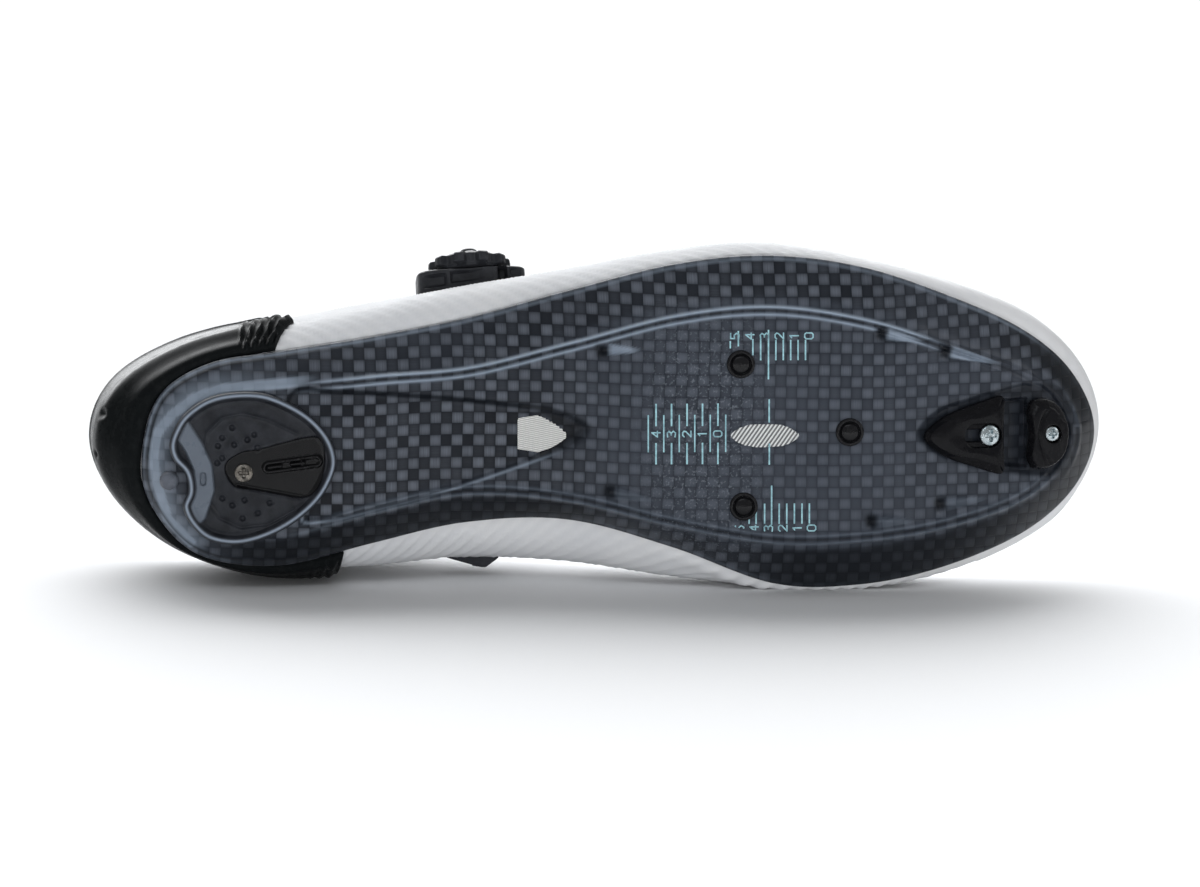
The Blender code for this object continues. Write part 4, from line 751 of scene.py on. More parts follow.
# Everything sunk into the flat of the sole, as a depth in metres.
def soleDepth(x, z):
    look = soleLook
    recess = smoothOutline([onSole(*corner) for corner in look["recess"]], 110)
    depth = look["recessDepth"] * softStep(insideDistance(x, z, recess), -0.4 * mm, 1.6 * mm)
    depth = depth + 0.9 * mm * softStep(insideDistance(x, z, archVentOutline(1.0)), -0.1 * mm, 0.5 * mm)
    depth = depth + 0.9 * mm * softStep(insideDistance(x, z, cleatVentOutline(1.0)), -0.1 * mm, 0.6 * mm)
    for head, tail, width, deep in look["scoops"]:
        head, tail = onSole(*head), onSole(*tail)
        length = np.linalg.norm(tail - head)
        way = (tail - head) / length
        a = (x - head[0]) * way[0] + (z - head[1]) * way[1]
        b = (z - head[1]) * way[0] - (x - head[0]) * way[1]
        taper = np.clip(1 - 0.65 * a / length, 0.3, 1.0)
        pit = softStep(a, 0, 0.8 * mm) * (1 - softStep(a, 0.25 * length, length))
        depth = depth + 1.3 * deep * mm * pit * bell(b, width * mm / 2 * taper)
    bay = smoothOutline([onSole(*corner) for corner in look["sliderBay"]], 110)
    depth = depth + 0.7 * mm * softStep(insideDistance(x, z, bay), -0.2 * mm, 0.9 * mm)
    inlet = [onSole(*corner) for corner in ((1003, 402), (1031, 400), (1031, 470), (1003, 468))]
    depth = depth + 2.6 * mm * softStep(insideDistance(x, z, inlet), -0.2 * mm, 0.6 * mm)
    return depth


def cleatVentOutline(grow=0.0):
    share = np.linspace(-1, 1, 21)
    centre = np.array([0.660 * shoe["length"], -0.005 * shoe["ballWidth"]])
    half = (3.0 + grow * 0.3) * mm * (1 - np.abs(share) ** 3.2) + 0.25 * mm
    along = centre[0] + share * (9.8 + grow * 0.3) * mm
    return np.vstack([np.stack([along, centre[1] + half], axis=1), np.stack([along[::-1], centre[1] - half[::-1]], axis=1)])


def archVentOutline(grow=0.0):
    corners = [onSole(*corner) for corner in ((519, 437), (520, 420), (527, 413), (548, 420), (567, 436), (548, 450), (527, 459), (520, 452))]
    flat = np.array(corners)
    middle = flat.mean(axis=0)
    return smoothOutline(middle + (flat - middle) * (1 + 0.04 * grow), 48)


# The carbon sole: flank, two raised lines, dished inner side. Under the flank the height falls
# from the edge as (1 - share) to the power 1.3, and the lines are two bells.
def makeOutsole(carbon):
    look = soleLook
    columns = loopRows * look["columnsPerRow"]
    position = np.arange(columns) / look["columnsPerRow"]
    at = stationAt(position)
    inset, span = at["inset"][:, None], at["span"][:, None]
    flank = inset * np.linspace(0, 1, 17)[None, :] - 1.3 * mm * np.linspace(0, 1, 17)[None, :]
    zone = inset + np.linspace(-1.3, 3.6, 20)[None, 1:] * mm
    rest = inset + 3.6 * mm + (span - inset - 3.6 * mm) * np.linspace(0, 1, 54)[None, 1:]
    distance = np.hstack([flank, zone, rest])
    flat = at["edge"][:, None] + at["inward"][:, None] * distance[..., None]
    x, z = flat[..., 0], flat[..., 1]
    low = bottomLine(at["edge"][:, 0])[:, None]
    lip = at["edgeHeight"][:, None] - shoe["rimLip"] - low
    down = np.clip(1 - distance / inset, 0, 1) ** 1.3
    height = bottomLine(x) + lip * down
    offset = distance - inset
    crest = bell(offset, look["crestWidth"]) + 0.8 * bell(offset - look["crestApart"], look["crestWidth"])
    height = height - at["ridge"][:, None] * crest * 1.1
    height = height + soleDepth(x, z) * softStep(offset, 0.2 * mm, 1.2 * mm)
    # the thin rib that runs round the toe, and the line that runs round the heel
    toe = softStep(np.minimum(position, loopRows - position), 11.6, 12.6)[:, None]
    height = height - 0.55 * mm * bell(distance - 5.2 * mm, 0.6 * mm) * toe
    heel = 1 - softStep(np.minimum(position, loopRows - position), 3.2, 4.2)[:, None]
    height = height - 0.35 * mm * bell(distance - 1.6 * mm, 0.5 * mm) * heel
    under = joined(flat, height)
    top = [joined(at["edge"] + at["inward"] * d[:, None], h) for d, h in (
        (np.full(columns, -0.25 * mm), at["edgeHeight"] - shoe["rimLip"] * 0.72),
        (np.full(columns, -0.25 * mm), at["edgeHeight"] - shoe["rimLip"] * 0.28),
        (np.zeros(columns), at["edgeHeight"]),
        (np.full(columns, 4.6 * mm), at["edgeHeight"]),
    )]
    for d in (np.full(columns, 8.4 * mm), at["span"]):
        spot = at["edge"] + at["inward"] * d[:, None]
        top.append(joined(spot, bottomLine(spot[:, 0]) + shoe["plate"]))
    grid = np.concatenate([under[:, ::-1], np.stack(top, axis=1)], axis=1)
    steps = grid.shape[1]
    faces = gridFaces(columns, steps, roundRows=True)
    recess = smoothOutline([onSole(*corner) for corner in look["recess"]], 110)
    inRecess = softStep(insideDistance(x, z, recess), -1 * mm, 3 * mm)
    flankShare = np.clip(1 - distance / inset, 0, 1)
    onBall = softStep(x / shoe["length"], 0.42, 0.54)
    weave = 0.75 - 0.6 * onBall + 0.35 * softStep(x / shoe["length"], 0.7, 0.84)
    weave = np.maximum(weave, inRecess)
    weave = np.maximum(weave, 0.75 * softStep(flankShare, 0.1, 0.3))
    spot = onSole(*look["frostAt"])
    frost = np.exp(-(((x - spot[0]) / (15 * mm)) ** 4) - ((z - spot[1]) / (31 * mm)) ** 4)
    lateral = (position < lastRow)[:, None]
    share = x / shoe["length"]
    # painted highlight on the raised lines and the sole's rim, on the lateral side and round the heel, where they face
    # the light
    strength = (at["ridge"] / at["ridge"].max())[:, None] * softStep(share, 0.02, 0.06)
    paintedHighlight = crest * strength * np.where(lateral, 1 - softStep(share, 0.8, 0.845), 0.22)
    paintedHighlight = np.maximum(paintedHighlight, 0.4 * bell(distance - 0.5 * mm, 0.4 * mm) * np.where(lateral, 1, 0.3))
    # painted highlight: a broad pale band round the heel
    band = pathDistance(x, z, look["heelBand"])
    paintedHighlight = np.maximum(paintedHighlight, 0.62 * softStep(band, 1.9 * mm, 1.0 * mm) * (1 - softStep(share, 0.19, 0.23)))
    paintedHighlight = np.maximum(paintedHighlight, 0.35 * softStep(band, 6 * mm, 0.5 * mm) * (1 - softStep(share, 0.1, 0.2)) * softStep(distance, 0.8 * mm, 2 * mm))
    arch = softStep(share, 0.46, 0.52) * (1 - softStep(share, 0.62, 0.7))
    # painted shade: the medial flank, which faces the floor, is darkened towards black
    shade = np.where(lateral, 0.0, 0.8) * softStep(flankShare, 0.02, 0.2) * (1 - 0.7 * arch) * softStep(share, 0.10, 0.17)
    # painted shade in the groove between the two raised lines and in the line round the heel
    shade = np.maximum(shade, 0.7 * bell(offset - look["crestApart"] / 2, 0.45 * mm) * strength)
    shade = np.maximum(shade, 0.75 * bell(distance - 1.35 * mm, 0.4 * mm) * (1 - softStep(share, 0.1, 0.3)))
    # painted shade along the recess's upper wall and round the arch vent, painted highlight along its lower edge
    edgeOfRecess = insideDistance(x, z, recess)
    shade = np.maximum(shade, 0.8 * bell(edgeOfRecess - 0.6 * mm, 1.0 * mm) * softStep(z, -4 * mm, 4 * mm))
    shade = np.maximum(shade, 0.85 * bell(edgeOfRecess - 2.2 * mm, 2.0 * mm) * softStep(share, 0.425, 0.455))
    paintedHighlight = np.maximum(paintedHighlight, 0.5 * bell(edgeOfRecess, 0.4 * mm) * softStep(z, -4 * mm, -8 * mm))
    # painted shade in each scoop's notch, and a painted highlight on the facet beside it
    for head, tail, width, deep in look["scoops"]:
        head, tail = onSole(*head), onSole(*tail)
        length = np.linalg.norm(tail - head)
        way = (tail - head) / length
        a = (x - head[0]) * way[0] + (z - head[1]) * way[1]
        b = ((z - head[1]) * way[0] - (x - head[0]) * way[1]) * np.sign(head[1])
        notch = np.exp(-((a - 1.2 * mm) / (1.9 * mm)) ** 4 - ((b + 0.3 * mm) / (1.9 * mm)) ** 4)
        facet = softStep(a, 2.0 * mm, 3.4 * mm) * softStep(a, 1.1 * length, 0.7 * length)
        facet = facet * softStep(np.abs(b - 0.2 * mm), 2.0 * mm * (1.25 - a / length), 1.2 * mm * (1.25 - a / length))
        facet = facet * (0.62 if head[1] > 0 else 0.12)
        paintedHighlight = np.maximum(paintedHighlight * (1 - notch), facet)
        shade = np.maximum(shade * (1 - facet), 0.92 * notch)
    # painted shade: the bay round the toe's pieces and the toe's rim are darkened towards black, and the toe's rib gets
    # a thin painted highlight
    bay = smoothOutline([onSole(*corner) for corner in look["sliderBay"]], 110)
    shade = np.maximum(shade, 0.7 * softStep(insideDistance(x, z, bay), -1.2 * mm, 0.8 * mm))
    shade = np.maximum(shade, 0.9 * softStep(share, 0.90, 0.965) * softStep(distance, 7 * mm, 4 * mm))
    paintedHighlight = np.maximum(paintedHighlight * (1 - softStep(share, 0.93, 0.96) * softStep(distance, 2 * mm, 4 * mm)), 0.16 * bell(distance - 5.2 * mm, 0.5 * mm) * toe)
    extra = np.zeros((columns, len(top)))
    weave = np.hstack([weave[:, ::-1], extra + 0.7])
    frost, paintedHighlight, shade = (np.hstack([one[:, ::-1], extra]) for one in (frost, paintedHighlight, shade))
    return makePiece("carbonSole", grid, faces, carbon, stands=["outsole"],
                     values={"weave": weave, "frost": frost, "paintedHighlight": paintedHighlight, "shade": shade}, sharpDeg=50)


# A strip over the instep between two offsets from the last, with a rounded edge all round and
# optional shallow seams: both faces are grids of stations by steps.
def crossGrid(stations, medialAngle, lateralAngle, steps):
    share = np.linspace(-1, 1, steps)[None, :]
    start, end = medialAngle[:, None], lateralAngle[:, None]
    angle = np.where(share < 0, math.pi / 2 + (math.pi / 2 - start) * share, math.pi / 2 - (math.pi / 2 - end) * share)
    row = stations[:, None] * np.ones_like(share)
    position = np.where(share < 0, loopRows - row, row)
    base = overPoint(position, angle)
    blend = np.gradient(base, axis=0), np.gradient(base, axis=1)
    normal = unit(np.cross(blend[1], blend[0]))
    normal = normal * np.sign((normal * overNormal(position, angle)).sum(-1))[..., None]
    return base, normal


def stripPiece(name, base, normal, low, high, finish, stands, relief=None, roundOff=1.2 * mm, body="shoe"):
    rows, steps = base.shape[:2]
    alongRun = np.linalg.norm(np.diff(base, axis=0), axis=2).mean(axis=1)
    acrossRun = np.linalg.norm(np.diff(base, axis=1), axis=2).mean(axis=0)
    a = np.concatenate([[0], np.cumsum(alongRun)])[:, None]
    c = np.concatenate([[0], np.cumsum(acrossRun)])[None, :]
    edge = np.minimum(np.minimum(a, a.max() - a), np.minimum(c, c.max() - c))
    fall = 1 - np.sqrt(np.clip(1 - (1 - np.clip(edge / roundOff, 0, 1)) ** 2, 0, 1))
    thick = high - low
    top = high - fall * thick * 0.45 + (relief(a, c, edge) if relief else 0)
    bottom = low + fall * thick * 0.4
    outer = base + normal * np.broadcast_to(top, edge.shape)[..., None]
    inner = base + normal * np.broadcast_to(bottom, edge.shape)[..., None]
    count = rows * steps
    rim = [(r, 0) for r in range(rows)] + [(rows - 1, s) for s in range(1, steps)]
    rim += [(r, steps - 1) for r in range(rows - 2, -1, -1)] + [(0, s) for s in range(steps - 2, 0, -1)]
    rim = np.array([r * steps + s for r, s in rim])
    after = np.roll(rim, -1)
    faces = np.vstack([gridFaces(rows, steps), gridFaces(rows, steps, first=count)[:, ::-1],
                       np.stack([after, rim, rim + count, after + count], axis=1)])
    flat = np.stack(np.broadcast_arrays(a, c), axis=-1).reshape(-1, 2)
    made = makePiece(name, np.vstack([outer.reshape(-1, 3), inner.reshape(-1, 3)]), faces, finish, body=body,
                     stands=stands, uv=np.vstack([flat, flat]), sharpDeg=60)
    return made, outer, normal


strapLook = {
    "rows": (4.78, 5.52),
    "lateralHeight": 0.85,
    "medialHeight": 0.56,
    "toeRows": (6.30, 6.92),
    "toeHeight": 0.53,
    "lift": 0.45 * mm,
    "thickness": 1.5 * mm,
    "seamInset": 2.6 * mm,
}


def makeStraps(skin, thread):
    look = strapLook
    low, high = look["lift"], look["lift"] + look["thickness"]
    stitched = []
    for name, rows, medialHeight, lateralHeight, node in (
        ("instepStrap", look["rows"], look["medialHeight"], look["lateralHeight"], "instep_strap"),
        ("toeStrap", look["toeRows"], look["toeHeight"], look["toeHeight"], "toe_strap"),
    ):
        station = np.linspace(*rows, 34)
        medial = angleAtHeight(loopRows - station, medialHeight * shoe["instepHeight"])
        lateral = angleAtHeight(station, lateralHeight * shoe["instepHeight"])
        base, normal = crossGrid(station, medial, lateral, 150)
        relief = lambda a, c, edge: -0.3 * mm * bell(edge - look["seamInset"], 0.4 * mm) + 0.12 * mm * softStep(edge, look["seamInset"], look["seamInset"] + 2 * mm)
        _, outer, way = stripPiece(name, base, normal, low, high, skin, [node], relief)
        stitched.append((outer, way))
    points, faces, count = [], [], 0
    for outer, way in stitched:
        for line in (4, -5):
            spots, ahead, share = evenly(outer[line], 2.8 * mm)
            out = np.stack([np.interp(share, np.linspace(0, 1, outer.shape[1]), way[line][:, i]) for i in range(3)], axis=1)
            got, quads = stitchRow(spots, ahead, unit(out), (1.0 * mm, 0.28 * mm, 0.26 * mm))
            points.append(got)
            faces.append(quads + count)
            count += len(got)
    makePiece("strapStitches", np.vstack(points), np.vstack(faces), thread)


tongueLook = {"rows": (4.15, 7.5), "tuckDeg": 14.0, "room": 0.8 * mm, "thickness": 2.6 * mm, "wall": 2.0 * mm}


def makeTongue(cloth):
    look = tongueLook
    station = np.linspace(*look["rows"], 90)
    tuck = math.radians(look["tuckDeg"]) * (1 - softStep(station, 4.3, 3.8) * 0.5)
    lateral = np.maximum(stationAt(station)["opening"] - tuck, 0.5)
    medial = np.maximum(stationAt(loopRows - station)["opening"] - tuck, 0.5)
    lateral = np.where(station < 5, np.maximum(lateral, 0.95), lateral)
    medial = np.where(station < 5, np.maximum(medial, 0.95), medial)
    base, normal = crossGrid(station, medial, lateral, 60)
    top = -(look["wall"] + look["room"])
    def relief(a, c, edge):
        quilt = np.cos(a / (7.5 * mm) * math.pi) ** 2
        groove = bell(np.abs(c - c.max() / 2) - 6 * mm, 0.7 * mm)
        return -0.35 * mm * (1 - quilt) ** 6 * softStep(edge, 1 * mm, 3 * mm) - 0.3 * mm * groove - 0.25 * mm * bell(edge - 2.2 * mm, 0.5 * mm)
    made, _, _ = stripPiece("tongue_padded", base, normal, top - look["thickness"], top, cloth, ["tongue"], relief, 1.6 * mm)
    return made


insoleLook = {"start": 9.2 * mm, "thickness": 3.0 * mm, "cup": 2.0 * mm, "columnsPerRow": 10}


def makeInsole(cloth):
    look = insoleLook
    columns = loopRows * look["columnsPerRow"]
    position = np.arange(columns) / look["columnsPerRow"]
    at = stationAt(position)
    cup = look["cup"] * (1 - softStep(np.minimum(position, loopRows - position), 3.0, 6.0))
    base, gap, thick = look["start"], shoe["seam"], look["thickness"]
    def point(distance, lift):
        flat = at["edge"] + at["inward"] * np.broadcast_to(distance, at["span"].shape)[..., None]
        return joined(flat, bottomLine(flat[..., 0]) + shoe["plate"] + lift)
    sections = [point(at["span"], gap), point(base + 3 * mm, gap), point(base, gap + 0.4 * mm),
                point(base - 0.5 * mm, gap + thick * 0.6 + cup * 0.8), point(base - 0.3 * mm, gap + thick + cup),
                point(base + 0.6 * mm, gap + thick + cup)]
    for share in np.linspace(0, 1, 12)[1:]:
        sections.append(point(base + 0.6 * mm + (at["span"] - base - 0.6 * mm) * share, gap + thick + cup * (1 - share) ** 3))
    grid = np.stack(sections, axis=1)
    flat = np.stack([grid[..., 0], grid[..., 2]], axis=-1)
    return makePiece("insoleCloth", grid, gridFaces(columns, grid.shape[1], roundRows=True), cloth, stands=["insole"], uv=flat)


counterLook = {
    "ends": (3.02, 3.72),
    "slant": 0.72,
    "thickness": 2.5 * mm,
    "lift": 0.45 * mm,
    "top": 0.80,
    "fall": 0.26,
    "gillHeight": 1.5 * mm,
    "gillPitch": 2.9 * mm,
}


# The heel cup: the last's surface pushed out, thin at its edges, with a shoulder, a dished band
# over the sole, gills at its lateral front and a soft panel line round the back.
def makeCounter(gloss):
    look = counterLook
    lateral = np.linspace(0, look["ends"][0], 210)
    medial = loopRows - np.linspace(0, look["ends"][1], 230)[:0:-1]
    position = np.concatenate([medial, lateral])
    onMedial = position > lastRow
    at = stationAt(position)
    near = np.where(onMedial, loopRows - position, position)
    share = near / np.where(onMedial, look["ends"][1], look["ends"][0])
    height = shoe["collarHeight"] * (look["top"] - look["fall"] * share**2)
    rows = []
    for turn in np.linspace(0, 1, 26):
        place = position + look["slant"] * 0.4 * turn * share**2 * ~onMedial
        here = stationAt(place)
        reach = np.linalg.norm(here["upper"] - here["edge"] - here["inward"] * shoe["featherLap"], axis=-1)
        start = np.arcsin(np.clip((shoe["featherLap"] + 0.1 * mm) / reach, 0, 0.95)) / (math.pi / 2)
        rows.append(underPoint(place, start + (1 - start) * turn))
    for climb in np.linspace(0, 1, 44)[1:]:
        place = position + look["slant"] * 0.4 * (1 - climb) * share**2 * ~onMedial
        top = angleAtHeight(place, height)
        rows.append(overPoint(place, top * climb ** (1 / stationAt(place)["full"])))
    grid = np.stack(rows, axis=1)
    normal = unit(np.cross(np.gradient(grid, axis=1), np.gradient(grid, axis=0)))
    middle = joined(at["spine"], at["bulge"])[:, None]
    normal = normal * np.sign((normal * (grid - middle)).sum(-1))[..., None]
    climbed = np.concatenate([[0], np.cumsum(np.linalg.norm(np.diff(grid, axis=1), axis=2).mean(axis=0))])[None, :]
    climb = climbed / climbed.max()
    run = np.concatenate([[0], np.cumsum(np.linalg.norm(np.diff(grid[:, 24], axis=0), axis=1))])[:, None]
    toFront = run.max() - run
    toMedial = run
    edge = np.minimum(np.minimum(toFront, toMedial), np.minimum(climbed, climbed.max() - climbed))
    body = look["thickness"] * (0.35 + 0.65 * np.sqrt(np.clip(1 - (1 - np.clip(edge / (3.2 * mm), 0, 1)) ** 2, 0, 1)))
    shoulder = softStep(climb, 0.2, 0.3) - 0.55 * softStep(climb, 0.3, 0.36)
    lateralSide = softStep(run, run.max() * 0.42, run.max() * 0.6)
    body = body - 0.8 * mm * bell(climb - 0.16, 0.08) * softStep(edge, 0, 2 * mm) * (0.4 + 0.6 * lateralSide)
    body = body + 0.35 * mm * shoulder * lateralSide * softStep(toFront, 8 * mm, 16 * mm)
    gill = np.clip(np.cos(2 * math.pi * (toFront - 1.2 * mm + 3 * mm * (climb - 0.3)) / look["gillPitch"]), -0.4, 1)
    gills = softStep(toFront, 0.2 * mm, 1.2 * mm) * (1 - softStep(toFront, 12.6 * mm, 14.4 * mm))
    body = body + look["gillHeight"] * (gill - 0.3) * 0.75 * gills * softStep(climb, 0.0, 0.06) * (1 - softStep(climb, 0.5, 0.75))
    # two small notches at the back, and a ripple where the medial front ends
    backSlot = bell(run - run.max() * 0.60, 1.2 * mm) * bell(climb - 0.30, 0.035) + bell(run - run.max() * 0.53, 0.9 * mm) * bell(climb - 0.34, 0.03)
    body = body - 1.1 * mm * np.minimum(backSlot, 1)
    tip = (1 - softStep(toMedial, 3 * mm, 12 * mm)) * np.cos(2 * math.pi * toMedial / (2.6 * mm)) * 0.35 * mm
    body = body + tip * (1 - softStep(climb, 0.4, 0.7))
    # a raised lip along the collar side
    body = body + 0.5 * mm * bell(climb - 0.93, 0.03)
    outer = grid + normal * (look["lift"] + body)[..., None]
    inner = grid + normal * look["lift"]
    rowsCount, steps = grid.shape[:2]
    count = rowsCount * steps
    rim = [(r, 0) for r in range(rowsCount)] + [(rowsCount - 1, s) for s in range(1, steps)]
    rim += [(r, steps - 1) for r in range(rowsCount - 2, -1, -1)] + [(0, s) for s in range(steps - 2, 0, -1)]
    rim = np.array([r * steps + s for r, s in rim])
    after = np.roll(rim, -1)
    faces = np.vstack([gridFaces(rowsCount, steps), gridFaces(rowsCount, steps, first=count)[:, ::-1],
                       np.stack([after, rim, rim + count, after + count], axis=1)])
    return makePiece("heelCup", np.vstack([outer.reshape(-1, 3), inner.reshape(-1, 3)]), faces, gloss,
                     stands=["heel_counter"], sharpDeg=65)


# The same for a path given in pixels of the photograph.
def pathDistance(x, z, path):
    path = np.array([onSole(*spot) for spot in path])
    return segmentDistance(x, z, path[:-1], path[1:])


# A turned piece: radii and lifts along an axis, each leg cut finely, with an optional relief
# over its face and a change of radius round it. Both ends close on the axis.
def turnedPiece(name, place, out, ahead, profile, finish, stands=(), count=72, fine=5,
                relief=None, lobes=None, body="shoe", sharpDeg=38.0):
    profile = np.array(profile, float) * mm
    spots = np.linspace(0, len(profile) - 1, (len(profile) - 1) * fine + 1)
    radius, lift = (np.interp(spots, np.arange(len(profile)), profile[:, i]) for i in (0, 1))
    angle = np.arange(count)[:, None] / count * 2 * math.pi
    radius = radius[None, :] * np.ones_like(angle)
    if lobes:
        radius = lobes(angle, radius)
    a, b = np.cos(angle) * radius, np.sin(angle) * radius
    lift = lift[None, :] + (relief(a, b, lift[None, :]) if relief else 0 * a)
    side = np.cross(out, ahead)
    points = place + a[..., None] * ahead + b[..., None] * side + lift[..., None] * out
    return makePiece(name, points, gridFaces(count, len(spots), roundRows=True), finish, body=body,
                     stands=stands, sharpDeg=sharpDeg)


# Profile of a screw's domed head from its underside up: a short wall, then an arc.
def headProfile(radius, low, high, rise):
    turns = np.linspace(0, math.pi / 2, 9)
    arc = [(radius * math.cos(t), high - rise + rise * math.sin(t)) for t in turns]
    return [(0, low), (radius * 0.9, low), (radius, low + 0.15)] + arc


# A cross recess: the deeper of two short bars, sinking towards the middle.
def crossRecess(radius, top):
    def relief(a, b, lift):
        long, thin = 0.6 * radius * mm, 0.14 * radius * mm
        bars = [softStep(np.abs(v), thin + 0.12 * mm, thin) * softStep(np.abs(u), long, long - 0.3 * mm)
                * (1 - 0.55 * np.clip(np.abs(u) / long, 0, 1)) for u, v in ((a, b), (b, a))]
        return -1.3 * mm * np.maximum(*bars) * (lift > (top - 0.75) * mm)
    return relief


downward = np.array([0.0, -1.0, 0.0])
forward = np.array([1.0, 0.0, 0.0])

heelLook = {
    # pixels of the photograph
    "outline": ((210, 396), (236, 390), (266, 391), (294, 402), (316, 417), (332, 437), (338, 459),
                (332, 480), (318, 501), (294, 521), (266, 535), (238, 541), (211, 536), (194, 521),
                (186, 503), (191, 487), (188, 470), (177, 457), (173, 443), (177, 428), (188, 411)),
    "middle": (256, 467),
    "crescent": ((184, 424), (197, 444), (206, 464), (208, 486), (200, 510)),
    "crescentHole": ((206, 472), (206, 479)),
    "wedge": ((230, 458), (245, 449), (262, 446), (317, 434), (327, 452), (322, 482), (305, 495),
              (262, 488), (238, 484), (228, 470)),
    "lines": (((207, 450), (210, 430), (225, 415), (245, 411), (270, 417), (298, 431)),
              ((212, 500), (222, 514), (243, 524), (270, 521), (296, 507)),
              ((240, 484), (262, 488), (303, 496))),
    "bars": (((271, 465), (318, 459)), ((271, 465), (283, 463.5)), ((294, 462), (306, 460.5))),
    "dimples": ((235, 425), (225, 435), (237, 442), (250, 437), (260, 445), (221, 443), (225, 455),
                (257, 432), (220, 460), (225, 495), (235, 502), (245, 515), (260, 510), (272, 500), (247, 497)),
    "rivet": (172.5, 477.5),
    "back": 3.75 * mm,
    "floor": 1.7 * mm,
    "screwPlace": (0.152, -0.105),
    "screwRadius": 2.5,
}


# The heel pad: rays from its middle to a listed outline. Its face is a round lip inside the outline, then a dished
# floor with a smooth crescent, a glossy wedge, dimples and thin lines.
def makeHeelPad(finish, bronze, rivetFinish):
    look = heelLook
    outline = smoothOutline([onSole(*spot) for spot in look["outline"]], 300)
    middle = onSole(*look["middle"])
    shares = np.concatenate([np.linspace(1, 0.84, 30), np.linspace(0.84, 0, 96)[1:]])
    flat = middle + (outline - middle)[:, None] * shares[None, :, None]
    x, z = flat[..., 0], flat[..., 1]
    inside = np.maximum(insideDistance(x, z, outline[::2]), 0)
    height = np.interp(inside / mm, [0, 0.25, 0.7, 1.1, 1.5, 2.0, 2.5, 3.4], [1.3, 0.5, 0.1, 0.0, 0.15, 0.7, 1.45, 1.7]) * mm
    crescent = softStep(pathDistance(x, z, look["crescent"]), 2.9 * mm, 2.1 * mm) * softStep(inside, 1.9 * mm, 2.7 * mm)
    height = height - 1.15 * mm * crescent
    height = height + 1.2 * mm * softStep(pathDistance(x, z, look["crescentHole"]), 1.0 * mm, 0.55 * mm)
    wedge = insideDistance(x, z, smoothOutline([onSole(*spot) for spot in look["wedge"]], 160))
    wedge = softStep(wedge, -0.1 * mm, 0.35 * mm) * softStep(inside, 2.0 * mm, 2.6 * mm)
    height = height + 0.9 * mm * wedge
    for line in look["lines"]:
        height = height - 0.5 * mm * bell(pathDistance(x, z, line), 0.42 * mm) * softStep(inside, 2 * mm, 3 * mm)
    bars = np.abs(pathDistance(x, z, look["bars"][0]) - 1.25 * mm)
    for bar in look["bars"][1:]:
        bars = np.minimum(bars, pathDistance(x, z, bar))
    height = height - 0.75 * mm * softStep(bars, 0.6 * mm, 0.25 * mm)
    for spot in look["dimples"]:
        spot = onSole(*spot)
        reach = np.hypot(x - spot[0], z - spot[1])
        height = height + 0.75 * mm * np.exp(-((reach / (0.72 * mm)) ** 4)) - 0.12 * mm * bell(reach - 1.0 * mm, 0.2 * mm)
    face = joined(flat, height)
    wall = [joined(middle + (outline - middle) * share, lift) for share, lift in ((0, look["back"]), (0.99, look["back"]), (1.0, look["back"] - 0.2 * mm))]
    grid = np.concatenate([np.stack(wall, axis=1), face], axis=1)
    # tint: the crescent's grey, and a painted highlight along the crest of the lip
    tint = np.hstack([np.zeros((300, 3)), np.maximum(0.75 * crescent, bell(inside - 0.95 * mm, 0.4 * mm))])
    gloss = np.hstack([np.zeros((300, 3)), np.maximum(wedge, 0.4 * crescent)])
    makePiece("heelPad", grid, gridFaces(300, grid.shape[1], roundRows=True), finish,
              stands=["heel_pad"], values={"tint": tint, "gloss": gloss}, sharpDeg=50)
    seat = look["screwPlace"][0] * shoe["length"], shoe["heelSeat"], look["screwPlace"][1] * shoe["ballWidth"]
    radius = look["screwRadius"]
    turnedPiece("heelScrew", np.array(seat), downward, forward, headProfile(radius, 1.0, 3.1, 0.55), bronze,
                ["heel_screw"], fine=3, relief=crossRecess(radius, 3.1))
    spot = onSole(*look["rivet"])
    dome = [(0, 0.2), (2.6, 0.2), (2.6, 0.9), (2.45, 1.5), (2.0, 2.2), (1.3, 2.7), (0.6, 2.9), (0, 2.95)]
    turnedPiece("heelRivet", joined(spot, shoe["heelSeat"]), downward, forward, dome, rivetFinish,
                ["heel_rivet"], count=40, fine=4, sharpDeg=60)


# Black heel rubber: grey and satin where the tint value asks for it, that is on the crescent and, as a painted
# highlight, along the lip, glossy in the wedge.
def heelRubber():
    made, tree, shader = newFinish("blackHeelRubber", (0.01, 0.011, 0.014), 0.4, **{"Coat Weight": 0.2, "Coat Roughness": 0.12, "Specular IOR Level": 0.2})
    place, _ = objectPlace(tree)
    tint = putNode(tree, "ShaderNodeAttribute", attribute_name="tint").outputs["Fac"]
    gloss = putNode(tree, "ShaderNodeAttribute", attribute_name="gloss").outputs["Fac"]
    cloud = ranged(tree, noise(tree, place, 260.0, 4.0), 0.35, 0.7)
    tone = mixed(tree, tint, (0.008, 0.009, 0.012), (0.22, 0.26, 0.32))
    tone = mixed(tree, calc(tree, "MULTIPLY", cloud, 0.12), tone, (0.12, 0.13, 0.15))
    tone = mixed(tree, gloss, tone, (0.0035, 0.0035, 0.004))
    tree.links.new(tone, shader.inputs["Base Color"])
    rough = calc(tree, "SUBTRACT", ranged(tree, cloud, 0.0, 1.0, 0.36, 0.5), calc(tree, "MULTIPLY", gloss, 0.24))
    tree.links.new(rough, shader.inputs["Roughness"])
    grain = calc(tree, "MULTIPLY", noise(tree, place, 1900.0, 2.0), calc(tree, "SUBTRACT", 1.0, gloss))
    tree.links.new(bumped(tree, grain, 0.00008, 0.5), shader.inputs["Normal"])
    return made


